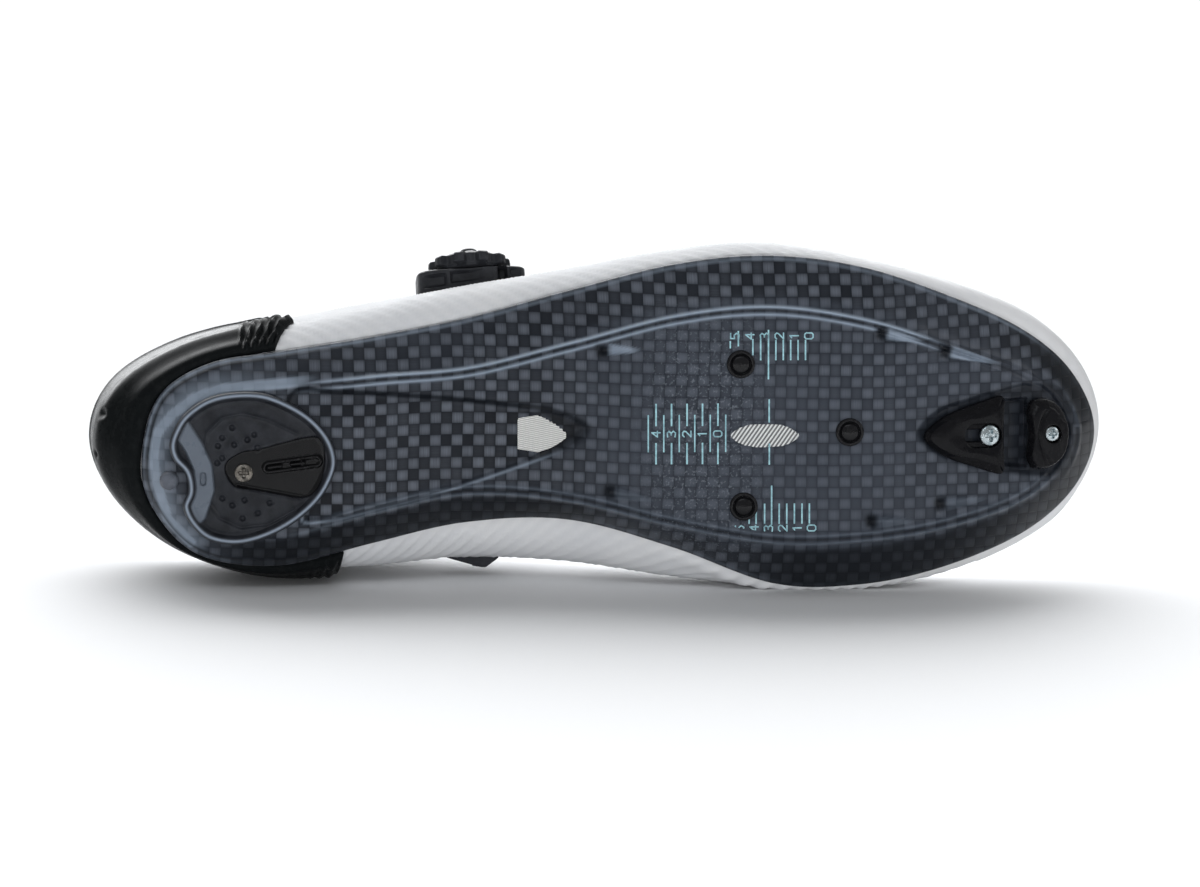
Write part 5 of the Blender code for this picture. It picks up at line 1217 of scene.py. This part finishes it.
plugLook = {
    "places": ((0.636, 0.203), (0.639, -0.210), (0.743, 0.004)),
    "profile": ((0, -2.0), (3.9, -2.0), (3.9, 0.55), (3.8, 0.85), (3.55, 1.0), (3.1, 1.0), (2.95, 0.8),
                (2.85, 0.2), (2.6, 0.1), (2.45, 0.25), (2.4, 0.6), (2.25, 0.8), (1.9, 0.95), (1.3, 1.06),
                (0.7, 1.12), (0, 1.14)),
}


def makePlugs(gloss):
    for i, (along, side) in enumerate(plugLook["places"]):
        flat = np.array([along * shoe["length"], side * shoe["ballWidth"]])
        turnedPiece(f"cleatPlug{i + 1}", joined(flat, bottomLine(flat[0])), downward, forward,
                    plugLook["profile"], gloss, [f"cleat_plug_{i + 1}"], count=64, fine=3, sharpDeg=60)


toeLook = {
    "tip": 0.816,
    "axisSide": -0.0126,
    "sliderLength": 24.2,
    "sliderHalf": ((0, 0), (0.015, 1.2), (0.05, 2.1), (0.10, 3.1), (0.17, 4.3), (0.24, 5.4), (0.36, 6.7),
                   (0.47, 7.6), (0.58, 8.4), (0.70, 9.3), (0.82, 10.2), (0.92, 10.9), (0.97, 10.9), (1.0, 10.3)),
    "sliderTop": 3.3,
    "slotMiddle": 17.19,
    "screwReach": 19.54,
    "screwRadius": 3.0,
    "bumperStart": 31.2,
    "bumperLength": 12.4,
    "bumperHalf": ((0.06, 0), (0.03, 3.0), (0, 6.2), (0.05, 8.0), (0.12, 9.4), (0.28, 9.9), (0.45, 9.8),
                   (0.64, 8.9), (0.80, 7.4), (0.90, 5.7), (0.97, 3.4), (1.0, 1.2), (1.0, 0)),
    "bumperTop": 4.3,
    "bumperScrewReach": 38.2,
    "bumperScrewRadius": 2.2,
}


# Places over the toe ramp: reach from the slider's tip, across and out of the sole, in mm.
def onRamp(reach, across=0.0, out=0.0):
    lean = math.radians(shoe["rampDeg"])
    along = toeLook["tip"] * shoe["length"]
    reach, across, out = (np.asarray(value, float) * mm for value in np.broadcast_arrays(reach, across, out))
    return np.stack([along + reach * math.cos(lean) + out * math.sin(lean),
                     bottomLine(np.float64(along)) + reach * math.sin(lean) - out * math.cos(lean),
                     across + toeLook["axisSide"] * shoe["ballWidth"]], axis=-1)


rampOut = np.array([math.sin(math.radians(shoe["rampDeg"])), -math.cos(math.radians(shoe["rampDeg"])), 0.0])
rampAhead = np.array([-rampOut[1], rampOut[0], 0.0])


# Evenly spaced points on a closed outline.
def evenLoop(corners, count):
    corners = np.vstack([corners, corners[:1]])
    run = np.concatenate([[0], np.cumsum(np.linalg.norm(np.diff(corners, axis=0), axis=1))])
    asked = np.arange(count) / count * run[-1]
    return np.stack([np.interp(asked, run, corners[:, i]) for i in (0, 1)], axis=1)


def bothHalves(half, start, length):
    half = np.array(half, float) * (length, 1.0) + (start, 0.0)
    return np.vstack([half, half[::-1] * (1, -1)])


# The edge of a stadium in each of the asked directions from its middle.
def stadiumEdge(way, straight, radius):
    c, s = np.abs(way[:, 0]), np.abs(way[:, 1])
    flat = radius / np.maximum(s, 1e-9)
    cap = straight * c + np.sqrt(np.maximum(radius**2 - (straight * s) ** 2, 0))
    return np.where(flat * c <= straight, flat, cap)[:, None] * way


# A plate with a hole: rings that run from the hole's back edge round the outline to the hole's
# front edge and down its wall. Each ring is a share between the outline and the hole.
def platedRings(outline, middle, rings):
    out = outline - middle
    reach = np.linalg.norm(out, axis=1)[:, None]
    way = out / reach
    sections = []
    for ring in rings:
        if ring[0] == "rim":
            flat = middle + way * (reach - ring[1])
        elif ring[0] == "hole":
            flat = middle + stadiumEdge(way, ring[3], ring[1])
        else:
            near = middle + stadiumEdge(way, ring[4], ring[3])
            far = middle + way * (reach - ring[5] * np.ones_like(reach))
            flat = far + (near - far) * ring[1]
        lift = np.full(len(outline), ring[2])
        sections.append((flat, lift))
    return sections


def makeToeHardware(gloss, rubberFinish, zinc):
    look = toeLook
    top = look["sliderTop"]
    outline = evenLoop(bothHalves(look["sliderHalf"], 0.0, look["sliderLength"]), 220)
    middle = np.array([look["slotMiddle"], 0.0])
    bore, slot = (3.32, 2.35), (1.7, 3.9)
    rings = [("hole", slot[0], 0.3, slot[1]), ("rim", 0.5, 0.3), ("rim", 0.1, 0.5), ("rim", 0.0, 0.9), ("rim", 0.05, 1.5), ("rim", 0.3, 1.9)]
    sections = platedRings(outline, middle, rings)
    # the long facet widens towards the tail
    share = np.clip(outline[:, 0] / look["sliderLength"], 0, 1)
    out = outline - middle
    reach = np.linalg.norm(out, axis=1)
    way = out / reach[:, None]
    for part in np.linspace(0, 1, 6):
        inset = 0.4 + part * (0.7 + 1.9 * share * (share < 0.985))
        sections.append((middle + way * (reach - inset)[:, None], np.full(len(outline), 2.0 + part * (top - 0.08 - 2.0))))
    far = middle + way * (reach - 1.35 - 1.9 * share * (share < 0.985))[:, None]
    near = middle + stadiumEdge(way, bore[1], bore[0] + 0.35)
    for part in np.linspace(0, 1, 12):
        crown = top + 0.12 * math.sin(math.pi * part) - 0.02
        sections.append((far + (near - far) * part, np.full(len(outline), crown)))
    sections += platedRings(outline, middle, [("hole", bore[0] + 0.1, top - 0.12, bore[1]), ("hole", bore[0], top - 0.4, bore[1]),
                                              ("hole", bore[0], 1.9, bore[1]), ("hole", bore[0] - 0.2, 1.7, bore[1]),
                                              ("hole", slot[0] + 0.25, 1.7, slot[1] - 0.2), ("hole", slot[0], 1.5, slot[1]), ("hole", slot[0], 0.6, slot[1])])
    grid = np.stack([onRamp(flat[:, 0], flat[:, 1], lift) for flat, lift in sections], axis=1)
    makePiece("ventSlider", grid, gridFaces(220, grid.shape[1], roundRows=True, roundSteps=True), gloss, body="vent_slider",
              stands=["toe_vent_slider"], sharpDeg=28)
    radius = look["screwRadius"]
    turnedPiece("ventScrew", onRamp(look["screwReach"]), rampOut, rampAhead, headProfile(radius, 1.75, top - 0.1, 0.8), zinc,
                ["toe_vent_screw"], fine=3, relief=crossRecess(radius, top - 0.1))

    top = look["bumperTop"]
    outline = evenLoop(bothHalves(look["bumperHalf"], look["bumperStart"], look["bumperLength"]), 200)
    middle = np.array([look["bumperScrewReach"], 0.0])
    hole = look["bumperScrewRadius"] + 0.3
    out = outline - middle
    reach = np.linalg.norm(out, axis=1)
    way = out / reach[:, None]
    lateral = softStep(way[:, 1], 0.5, 0.9)
    sections = platedRings(outline, middle, [("hole", hole, 0.35, 0.0), ("rim", 0.5, 0.35), ("rim", 0.1, 0.6), ("rim", 0.0, 1.0), ("rim", 0.0, 2.0), ("rim", 0.15, 2.5)])
    for part in np.linspace(0, 1, 7)[1:]:
        inset = 0.15 + part * (0.9 + 2.0 * lateral)
        sections.append((middle + way * (reach - inset)[:, None], np.full(200, 2.5) + math.sin(part * math.pi / 2) * (top - 2.6)))
    far = middle + way * (reach - 1.05 - 2.0 * lateral)[:, None]
    near = middle + way * (hole + 0.9)
    for part in np.linspace(0, 1, 16)[1:]:
        flat = far + (near - far) * part
        arc = np.hypot(flat[:, 0] - look["bumperStart"] - 14.0, flat[:, 1])
        groove = 0.45 * bell(arc - 11.2, 0.45) * softStep(part * np.ones(200), 0.0, 0.15)
        sections.append((flat, top - 0.1 + 0.1 * part - groove))
    sections += platedRings(outline, middle, [("hole", hole + 0.35, top, 0.0), ("hole", hole + 0.05, top - 0.2, 0.0), ("hole", hole, top - 0.6, 0.0), ("hole", hole, 1.0, 0.0)])
    grid = np.stack([onRamp(flat[:, 0], flat[:, 1], lift) for flat, lift in sections], axis=1)
    makePiece("toeBumper", grid, gridFaces(200, grid.shape[1], roundRows=True, roundSteps=True), rubberFinish,
              stands=["toe_bumper"], sharpDeg=32)
    radius = look["bumperScrewRadius"]
    turnedPiece("bumperScrew", onRamp(look["bumperScrewReach"]), rampOut, rampAhead, headProfile(radius, 0.6, top - 0.3, 0.6), zinc,
                ["toe_bumper_screw"], fine=3, relief=crossRecess(radius, top - 0.3))


# A point on the last at a height, the outward normal there, and the ways ahead and up.
def seatOnLast(row, height, offset):
    row = np.array([float(row)])
    angle = angleAtHeight(row, height)
    normal = overNormal(row, angle)[0]
    point = overPoint(row, angle)[0]
    step = 0.05 if row[0] < lastRow else -0.05
    ahead = overPoint(row + step, angleAtHeight(row + step, height))[0] - point
    ahead = unit(ahead - normal * ahead.dot(normal))
    third = np.cross(normal, ahead)
    return point + normal * offset, normal, ahead, third if third[1] > 0 else -third


# A block seated on the last: rings of an outline in millimetres, each at a share of the way from
# the last to the block's flat face.
def seatedRings(row, height, rings, thickness, room=0.5 * mm):
    seat, normal, ahead, up = seatOnLast(row, height, room)
    spread = overPoint(np.array([row + 0.5, row - 0.5]), np.zeros(2))
    rowLength = np.linalg.norm(spread[0] - spread[1])
    slope = abs(np.cross(normal, ahead)[1])
    direction = 1 if row < lastRow else -1
    grid = []
    for a, b, share in rings:
        position = row + direction * a * mm / rowLength
        angle = angleAtHeight(position, height + b * mm * slope)
        under = overPoint(position, angle) + overNormal(position, angle) * room
        lift = (under - seat) @ normal
        grid.append(under + ((thickness - lift) * share)[:, None] * normal)
    return np.stack(grid, axis=1)


dialLook = {
    "row": 5.14,
    "seatHeight": 0.69,
    "half": (15.6, 9.0),
    "baseHeight": 5.0,
    # start, end, low and high of each slot in the bracket's long walls, in mm and shares
    "slots": ((-14.0, -7.6, 0.22, 0.72, 1.9), (-6.0, 0.2, 0.3, 0.8, 1.9), (7.6, 9.8, -1.0, 2.0, 3.4), (11.0, 14.2, 0.35, 0.8, 1.2)),
    "bulge": (0.9, 7.0, 0.9),
    "lugs": 10,
    "knob": ((0, 5.3), (8.2, 5.3), (9.0, 5.6), (10.4, 6.1), (11.2, 6.25), (11.55, 6.6), (11.6, 7.6),
             (11.5, 8.6), (11.1, 9.0), (9.6, 9.15), (8.8, 9.3), (8.0, 9.8), (6.2, 10.5), (4.2, 10.9),
             (2.7, 11.05), (2.5, 11.1), (2.4, 12.0), (2.1, 12.3), (0, 12.34)),
    "laceSpread": 6.0 * mm,
    "laceRadius": 0.6 * mm,
    "laceLift": 1.4 * mm,
    "anchorRow": 5.10,
    "anchorSeatHeight": 0.485,
    "anchorHalf": (7.2, 4.2),
    "anchorHeight": 3.2,
}


def roundedBox(half, count, power=5.0):
    turn = np.arange(count) / count * 2 * math.pi
    c, s = np.cos(turn), np.sin(turn)
    return half[0] * np.sign(c) * np.abs(c) ** (2 / power), half[1] * np.sign(s) * np.abs(s) ** (2 / power)


def makeDial(plastic, cable):
    look = dialLook
    height = look["seatHeight"] * shoe["instepHeight"]
    count = 360
    turn = np.arange(count) / count * 2 * math.pi
    a, b = roundedBox(look["half"], count)
    long = softStep(np.abs(b) / look["half"][1], 0.8, 0.97)
    rings = [(a * 0, b * 0, 0.0 * a), (a * 0.5, b * 0.5, 0.0 * a), (a * 0.97, b * 0.96, 0.0 * a)]
    for share in np.linspace(0.04, 0.9, 22):
        push = np.zeros(count)
        for start, end, low, high, deep in look["slots"]:
            window = softStep(a, start - 0.35, start + 0.35) * (1 - softStep(a, end - 0.35, end + 0.35))
            window = window * softStep(np.full(count, share), low - 0.05, low + 0.05) * (1 - softStep(np.full(count, share), high - 0.05, high + 0.05))
            push = np.maximum(push, deep * window)
        start, end, deep = look["bulge"]
        push = push - deep * softStep(a, start, start + 1.2) * (1 - softStep(a, end - 1.2, end))
        flare = 0.5 * (1 - share) ** 2
        rings.append((a * (1 - 0.006 * share), b - np.sign(b) * (push * long - flare * long), np.full(count, share)))
    for inset, share in ((0.4, 0.965), (1.0, 1.0), (2.2, 1.0), (2.6, 0.93), (3.4, 0.93), (3.8, 1.0)):
        rings.append((a * (1 - inset / look["half"][0]), b * (1 - inset / look["half"][1]), np.full(count, share)))
    rings.append((a * 0, b * 0, np.full(count, 1.0)))
    grid = seatedRings(look["row"], height, rings, look["baseHeight"] * mm)
    makePiece("dialBase", grid, gridFaces(count, grid.shape[1], roundRows=True), plastic,
              stands=["dial_base"], sharpDeg=42)
    seat, normal, ahead, up = seatOnLast(look["row"], height, 0.5 * mm)
    def lobes(angle, radius):
        tooth = softStep(np.cos(look["lugs"] * angle), -0.25, 0.45)
        gap = np.maximum(radius - 9.0 * mm, 0) * 0.8 * (1 - tooth)
        rib = 0.07 * mm * np.cos(4 * look["lugs"] * angle) * (radius > 11.4 * mm)
        return radius - gap + rib
    def relief(p, q, lift):
        reach = np.hypot(p, q)
        spokes = 0.5 + 0.5 * np.cos(look["lugs"] * np.arctan2(q, p))
        onDome = softStep(reach, 3.0 * mm, 3.8 * mm) * (1 - softStep(reach, 7.4 * mm, 8.4 * mm)) * (lift > 9.5 * mm)
        return -0.35 * mm * onDome * spokes**3
    turnedPiece("dialKnob", seat, normal, ahead, look["knob"], plastic, ["dial_knob"], count=360,
                fine=3, lobes=lobes, relief=relief, sharpDeg=40)
    strapEnd = strapLook["lateralHeight"] * shoe["instepHeight"]
    for name, shift, node in (("laceFront", 1, "lace_front"), ("laceBack", -1, "lace_back")):
        spread = shift * look["laceSpread"]
        start = seat + ahead * spread + up * 8.3 * mm + normal * look["laceLift"]
        row = look["row"] + spread / (0.099 * shoe["length"])
        end, endNormal, _, _ = seatOnLast(row, strapEnd, strapLook["lift"] + strapLook["thickness"] / 2)
        end = end + unit(end - start) * 0.4 * mm
        cablePiece(name, start, end, look["laceRadius"], cable, node)
        way = unit(end - start)
        guide = [(0, -5.2), (1.1, -5.2), (1.35, -4.8), (1.4, -3.0), (1.25, -2.0), (1.4, -1.0), (1.4, 0.6), (1.0, 1.0), (0, 1.0)]
        turnedPiece(name + "Guide", end, way, unit(np.cross(way, endNormal)), guide, plastic, count=36, fine=3)
    place = loopRows - look["anchorRow"]
    a, b = roundedBox(look["anchorHalf"], 200, 4.0)
    taper = 1 - 0.10 * (b / look["anchorHalf"][1])
    crown = np.interp(a, (-7.2, 2.4, 3.6, 7.2), (0.1, 1.0, 1.0, 0.15))
    rings = [(a * 0, b * 0, 0 * a), (a * 0.95 * taper, b * 0.95, 0 * a)]
    rings += [(a * scale * taper, b * scale, share * (crown + (1 - crown) * (1 - scale) * 0.6)) for scale, share in (
        (1.0, 0.08), (1.0, 0.3), (0.985, 0.4), (0.985, 0.5), (1.0, 0.6), (0.99, 0.85), (0.94, 0.97), (0.86, 1.0),
        (0.74, 1.0), (0.70, 0.86), (0.60, 0.84), (0.50, 0.86), (0.46, 1.0), (0.2, 1.0), (0.0, 1.0))]
    grid = seatedRings(place, look["anchorSeatHeight"] * shoe["instepHeight"], rings, look["anchorHeight"] * mm)
    makePiece("strapAnchor", grid, gridFaces(200, grid.shape[1], roundRows=True), plastic,
              stands=["strap_anchor"], sharpDeg=40)


# A twisted wire lace between two points: the radius waves round it as the strands turn.
def cablePiece(name, start, end, radius, finish, node):
    way = unit(end - start)
    side = unit(np.cross(way, [0.0, 0.0, 1.0]))
    third = np.cross(way, side)
    length = np.linalg.norm(end - start)
    run = np.linspace(0, length, 90)[None, :]
    turn = np.arange(36)[:, None] / 36 * 2 * math.pi
    r = radius * (1 - 0.12 * (0.5 + 0.5 * np.cos(6 * turn - run / (0.55 * mm)))) * ((run > 0) & (run < length))
    points = start + run[..., None] * way + (r * np.cos(turn))[..., None] * side + (r * np.sin(turn))[..., None] * third
    makePiece(name, points, gridFaces(36, 90, roundRows=True), finish, stands=[node], sharpDeg=60)


scaleLook = {
    # x, first and last y of each tick in pixels
    "ticks": [(730.5, 343, 349), (738.5, 333, 347), (753, 341, 356), (760.8, 341, 361), (768.6, 332, 380), (776, 342, 361),
              (783.4, 342, 361), (790.8, 342, 361), (798.2, 342, 361), (805.6, 342, 361),
              (749.5, 517, 524), (756.5, 511, 524), (765, 505, 524), (772, 487, 525), (779.6, 505, 524), (787.2, 505, 524),
              (794.8, 505, 524), (802.4, 505, 524), (809.8, 505, 524),
              (769.4, 401, 423), (769.6, 445, 465)],
    "alongTicks": (648.8, 726.0, 11),
    "digitRows": ((809, -14.8, 337.5, 6, 8.4), (812, -14.4, 529, 6, 8.4), (718, -15.4, 434.5, 5, 8.2)),
    "width": 0.42 * mm,
    "thickness": 0.05 * mm,
}

# Strokes of each digit in a box 0.6 wide and 1 high
digitStrokes = {
    "0": ((0.15, 0), (0.45, 0), (0.6, 0.18), (0.6, 0.82), (0.45, 1), (0.15, 1), (0, 0.82), (0, 0.18), (0.15, 0)),
    "1": ((0.12, 0.8), (0.32, 1), (0.32, 0)),
    "2": ((0, 0.82), (0.15, 1), (0.45, 1), (0.6, 0.82), (0.55, 0.6), (0, 0), (0.6, 0)),
    "3": ((0, 0.95), (0.4, 1), (0.58, 0.8), (0.42, 0.54), (0.2, 0.52), (0.42, 0.5), (0.6, 0.26), (0.42, 0), (0, 0.05)),
    "4": ((0.45, 0), (0.45, 1), (0, 0.32), (0.6, 0.32)),
    "5": ((0.58, 1), (0.08, 1), (0.05, 0.56), (0.4, 0.58), (0.6, 0.3), (0.42, 0), (0, 0.05)),
}


# The cleat scales: each stroke is a flat bar laid on the sole's flat ball.
def makeScales(paint):
    look = scaleLook
    legs = [((x, first), (x, last), 1.0) for x, first, last in look["ticks"]]
    for i, x in enumerate(np.linspace(*look["alongTicks"])):
        legs += [((x, 416), (x, 452), 0.9)] if i % 2 == 0 else [((x, 405), (x, 426), 1.1), ((x, 444), (x, 464), 1.1)]
    for first, step, row, count, size in look["digitRows"]:
        for digit in range(count):
            spots = np.array(digitStrokes[str(digit)])
            # turned a quarter, with the digit's top towards the heel
            px = first + step * digit - (spots[:, 1] - 0.5) * size
            py = row - (spots[:, 0] - 0.3) * size * 1.15
            legs += [((px[i], py[i]), (px[i + 1], py[i + 1]), 0.85) for i in range(len(spots) - 1)]
    start = np.array([onSole(*leg[0]) for leg in legs])
    end = np.array([onSole(*leg[1]) for leg in legs])
    half = np.array([leg[2] for leg in legs])[:, None] * look["width"] / 2
    way = (end - start) / np.linalg.norm(end - start, axis=1)[:, None]
    side = np.stack([-way[:, 1], way[:, 0]], axis=1)
    low, high = start - way * half * 0.8, end + way * half * 0.8
    corners = np.stack([low + side * half, high + side * half, high - side * half, low - side * half], axis=1)
    under = joined(corners, bottomLine(corners[..., 0]) + 0.02 * mm)
    over = joined(corners, bottomLine(corners[..., 0]) - look["thickness"])
    points = np.concatenate([under, over], axis=1)
    box = np.array([(0, 1, 2, 3), (7, 6, 5, 4), (0, 4, 5, 1), (1, 5, 6, 2), (2, 6, 7, 3), (3, 7, 4, 0)])
    faces = (box[None] + 8 * np.arange(len(legs))[:, None, None]).reshape(-1, 4)
    makePiece("cleatScales", points.reshape(-1, 3), faces, paint, sharpDeg=30, weld=0)


# Printed ink: slightly uneven, satin.
def paleInk():
    made, tree, shader = newFinish("paleBlueInk", (0.27, 0.50, 0.56), 0.5)
    place, _ = objectPlace(tree)
    worn = ranged(tree, noise(tree, place, 700.0, 4.0), 0.3, 0.6)
    tree.links.new(mixed(tree, worn, (0.16, 0.30, 0.35), (0.34, 0.58, 0.64)), shader.inputs["Base Color"])
    return made


stageLook = {
    "distance": 2.0,
    "towardLateralDeg": 4.0,
    "towardHeelDeg": 5.0,
    "aim": (141.85 * mm, 8.0 * mm, -2.9 * mm),
    "viewWidth": 0.3320,
    "floorTone": (0.94, 0.94, 0.945),
    # the studio's sky: a wide soft panel over and behind the shoe, and an even fill all round
    "skyAxis": (-0.088, 0.840, 0.536),
    "skyEdges": (0.74, 0.94),
    "skyLow": 0.27,
    "skyHigh": 4.6,
    "skyTone": (0.97, 0.985, 1.0),
    # where each soft light stands, its size, its power in watts and its tint
    "lights": {
        "frontStrip": ((-0.3, -1.5, 1.3), (1.6, 0.16), 3.0, (0.9, 0.95, 1.0)),
        "toePanel": ((1.6, -0.5, 0.8), (0.5, 0.7), 2.0, (1.0, 1.0, 1.0)),
        "lowFill": ((0.0, -1.45, 0.07), (1.8, 0.1), 12.5, (0.97, 0.985, 1.0)),
    },
}


def pointAt(made, place, target):
    made.location = place
    made.rotation_euler = (Vector(target) - Vector(place)).to_track_quat("-Z", "Y").to_euler()


def makeStage():
    look = stageLook
    floorMesh = bpy.data.meshes.new("studioFloor")
    ring = np.linspace(0, 2 * math.pi, 97)[:-1]
    radii = np.array([0.02, 0.4, 1.5, 6.0])
    points = np.stack([np.outer(radii, np.cos(ring)), np.outer(radii, np.sin(ring)), np.zeros((4, 96))], axis=-1).reshape(-1, 3)
    faces = gridFaces(4, 96, roundSteps=True).tolist() + [list(range(96))]
    floorMesh.from_pydata(points.tolist(), [], faces)
    floor = bpy.data.objects.new("studioFloor", floorMesh)
    bpy.context.collection.objects.link(floor)
    made, tree, shader = newFinish("paleFloor", look["floorTone"], 0.75)
    place, _ = objectPlace(tree)
    tree.links.new(bumped(tree, noise(tree, place, 300.0, 2.0), 0.0001, 0.1), shader.inputs["Normal"])
    floorMesh.materials.append(made)
    world = bpy.data.worlds.new("studio")
    bpy.context.scene.world = world
    world.use_nodes = True
    tree = world.node_tree
    way = putNode(tree, "ShaderNodeTexCoord").outputs["Generated"]
    facing = putNode(tree, "ShaderNodeVectorMath", {0: way, 1: look["skyAxis"]}, operation="DOT_PRODUCT").outputs["Value"]
    glow = putNode(tree, "ShaderNodeMapRange", {"Value": facing, "From Min": look["skyEdges"][0], "From Max": look["skyEdges"][1], "To Min": look["skyLow"], "To Max": look["skyHigh"]}, interpolation_type="SMOOTHSTEP")
    back = tree.nodes["Background"]
    back.inputs["Color"].default_value = (*look["skyTone"], 1.0)
    tree.links.new(glow.outputs["Result"], back.inputs["Strength"])
    centre = Vector((0, -0.02, 0.045))
    for name, (place, size, power, tint) in look["lights"].items():
        light = bpy.data.lights.new(name, "AREA")
        light.shape = "RECTANGLE"
        light.size, light.size_y = size
        light.energy = power
        light.color = tint
        lamp = bpy.data.objects.new(name, light)
        bpy.context.collection.objects.link(lamp)
        # the fill near the floor leaves no highlight
        lamp.visible_glossy = name != "lowFill"
        pointAt(lamp, place, centre)
    bpy.context.scene.view_settings.view_transform = "Standard"


# The camera looks at the sole from 4 degrees towards its lateral side and 5 towards its heel,
# with the shoe's length level in the picture.
def makeCamera():
    look = stageLook
    a, b = math.radians(look["towardLateralDeg"]), math.radians(look["towardHeelDeg"])
    back = np.array([-math.sin(b), -math.cos(b) * math.cos(a), math.cos(b) * math.sin(a)])
    right = unit(np.cross(np.array([0.0, 0.0, 1.0]), back))
    up = np.cross(back, right)
    turn = np.stack([restTurn @ right, restTurn @ up, restTurn @ back], axis=1)
    aim = laidDown(np.array(look["aim"]))
    place = aim + restTurn @ back * look["distance"]
    data = bpy.data.cameras.new("photoCamera")
    data.sensor_width = 36.0
    data.lens = 36.0 * look["distance"] / look["viewWidth"]
    data.clip_end = 60.0
    camera = bpy.data.objects.new("photoCamera", data)
    bpy.context.collection.objects.link(camera)
    camera.matrix_world = Matrix.Translation(Vector(place)) @ Matrix(turn.tolist()).to_4x4()
    bpy.context.scene.camera = camera


# Put it together
makeStage()
makeCamera()
print("stage and camera ready")

skin = whiteSkin()
thread = grainPlastic("whiteThread", (0.7, 0.7, 0.71), 0.7)
lining = liningCloth("greyLining", (0.34, 0.35, 0.37), (0.52, 0.53, 0.55))
tongueCloth = liningCloth("whiteTongueMesh", (0.5, 0.5, 0.52), (0.78, 0.78, 0.79), 1.3 * mm)
insoleKnit = liningCloth("darkInsoleKnit", (0.02, 0.02, 0.024), (0.07, 0.07, 0.08), 1.0 * mm)
carbon = carbonWeave()
counterGloss = glossPlastic("blackCounterGloss", (0.006, 0.007, 0.0075), 0.26, 0.5, 0.022)
sliderGloss = glossPlastic("blackSliderGloss", (0.004, 0.004, 0.005), 0.16, 0.4, 0.12)
dialPlastic = grainPlastic("blackDialPlastic", (0.016, 0.017, 0.02), 0.42, 0.7)
zinc = zincSteel("zincPlatedSteel", (0.42, 0.5, 0.53), (0.72, 0.78, 0.8))
bronze = zincSteel("darkBronze", (0.10, 0.095, 0.085), (0.36, 0.33, 0.29))
cable = zincSteel("wireLace", (0.10, 0.11, 0.12), (0.30, 0.31, 0.33))
greyRubber = grainPlastic("greyRubber", (0.075, 0.083, 0.10), 0.35)
plugGloss = glossPlastic("blackPlugGloss", (0.006, 0.006, 0.007), 0.16, 0.4, 0.2)
bumperGloss = glossPlastic("blackBumperPlastic", (0.005, 0.005, 0.006), 0.24, 0.6, 0.12)
mesh = ventMesh("silverVentMesh", 0.95 * mm, math.radians(-35), (0.13, 0.135, 0.14), (0.85, 0.86, 0.85))
fineMesh = ventMesh("silverFineMesh", 0.55 * mm, math.radians(80), (0.6, 0.6, 0.58), (0.95, 0.95, 0.92))

_, shown, normal, toTop, near = makeUpper(skin, lining)
makeUpperStitches(thread, shown, normal, toTop, near)
print("upper made")
makeOutsole(carbon)
print("sole made")
makeStraps(skin, thread)
makeTongue(tongueCloth)
makeInsole(insoleKnit)
makeCounter(counterGloss)
print("straps, tongue, insole and counter made")

makeHeelPad(heelRubber(), bronze, greyRubber)
makePlugs(plugGloss)
makeToeHardware(sliderGloss, bumperGloss, zinc)
makeDial(dialPlastic, cable)
makeScales(paleInk())
print("hardware and scales made")

for node, finish in (("cleat_vent_mesh", mesh), ("arch_vent_mesh", fineMesh)):
    if nodes[node].material_slots:
        nodes[node].material_slots[0].material = finish
    else:
        nodes[node].data.materials.append(finish)
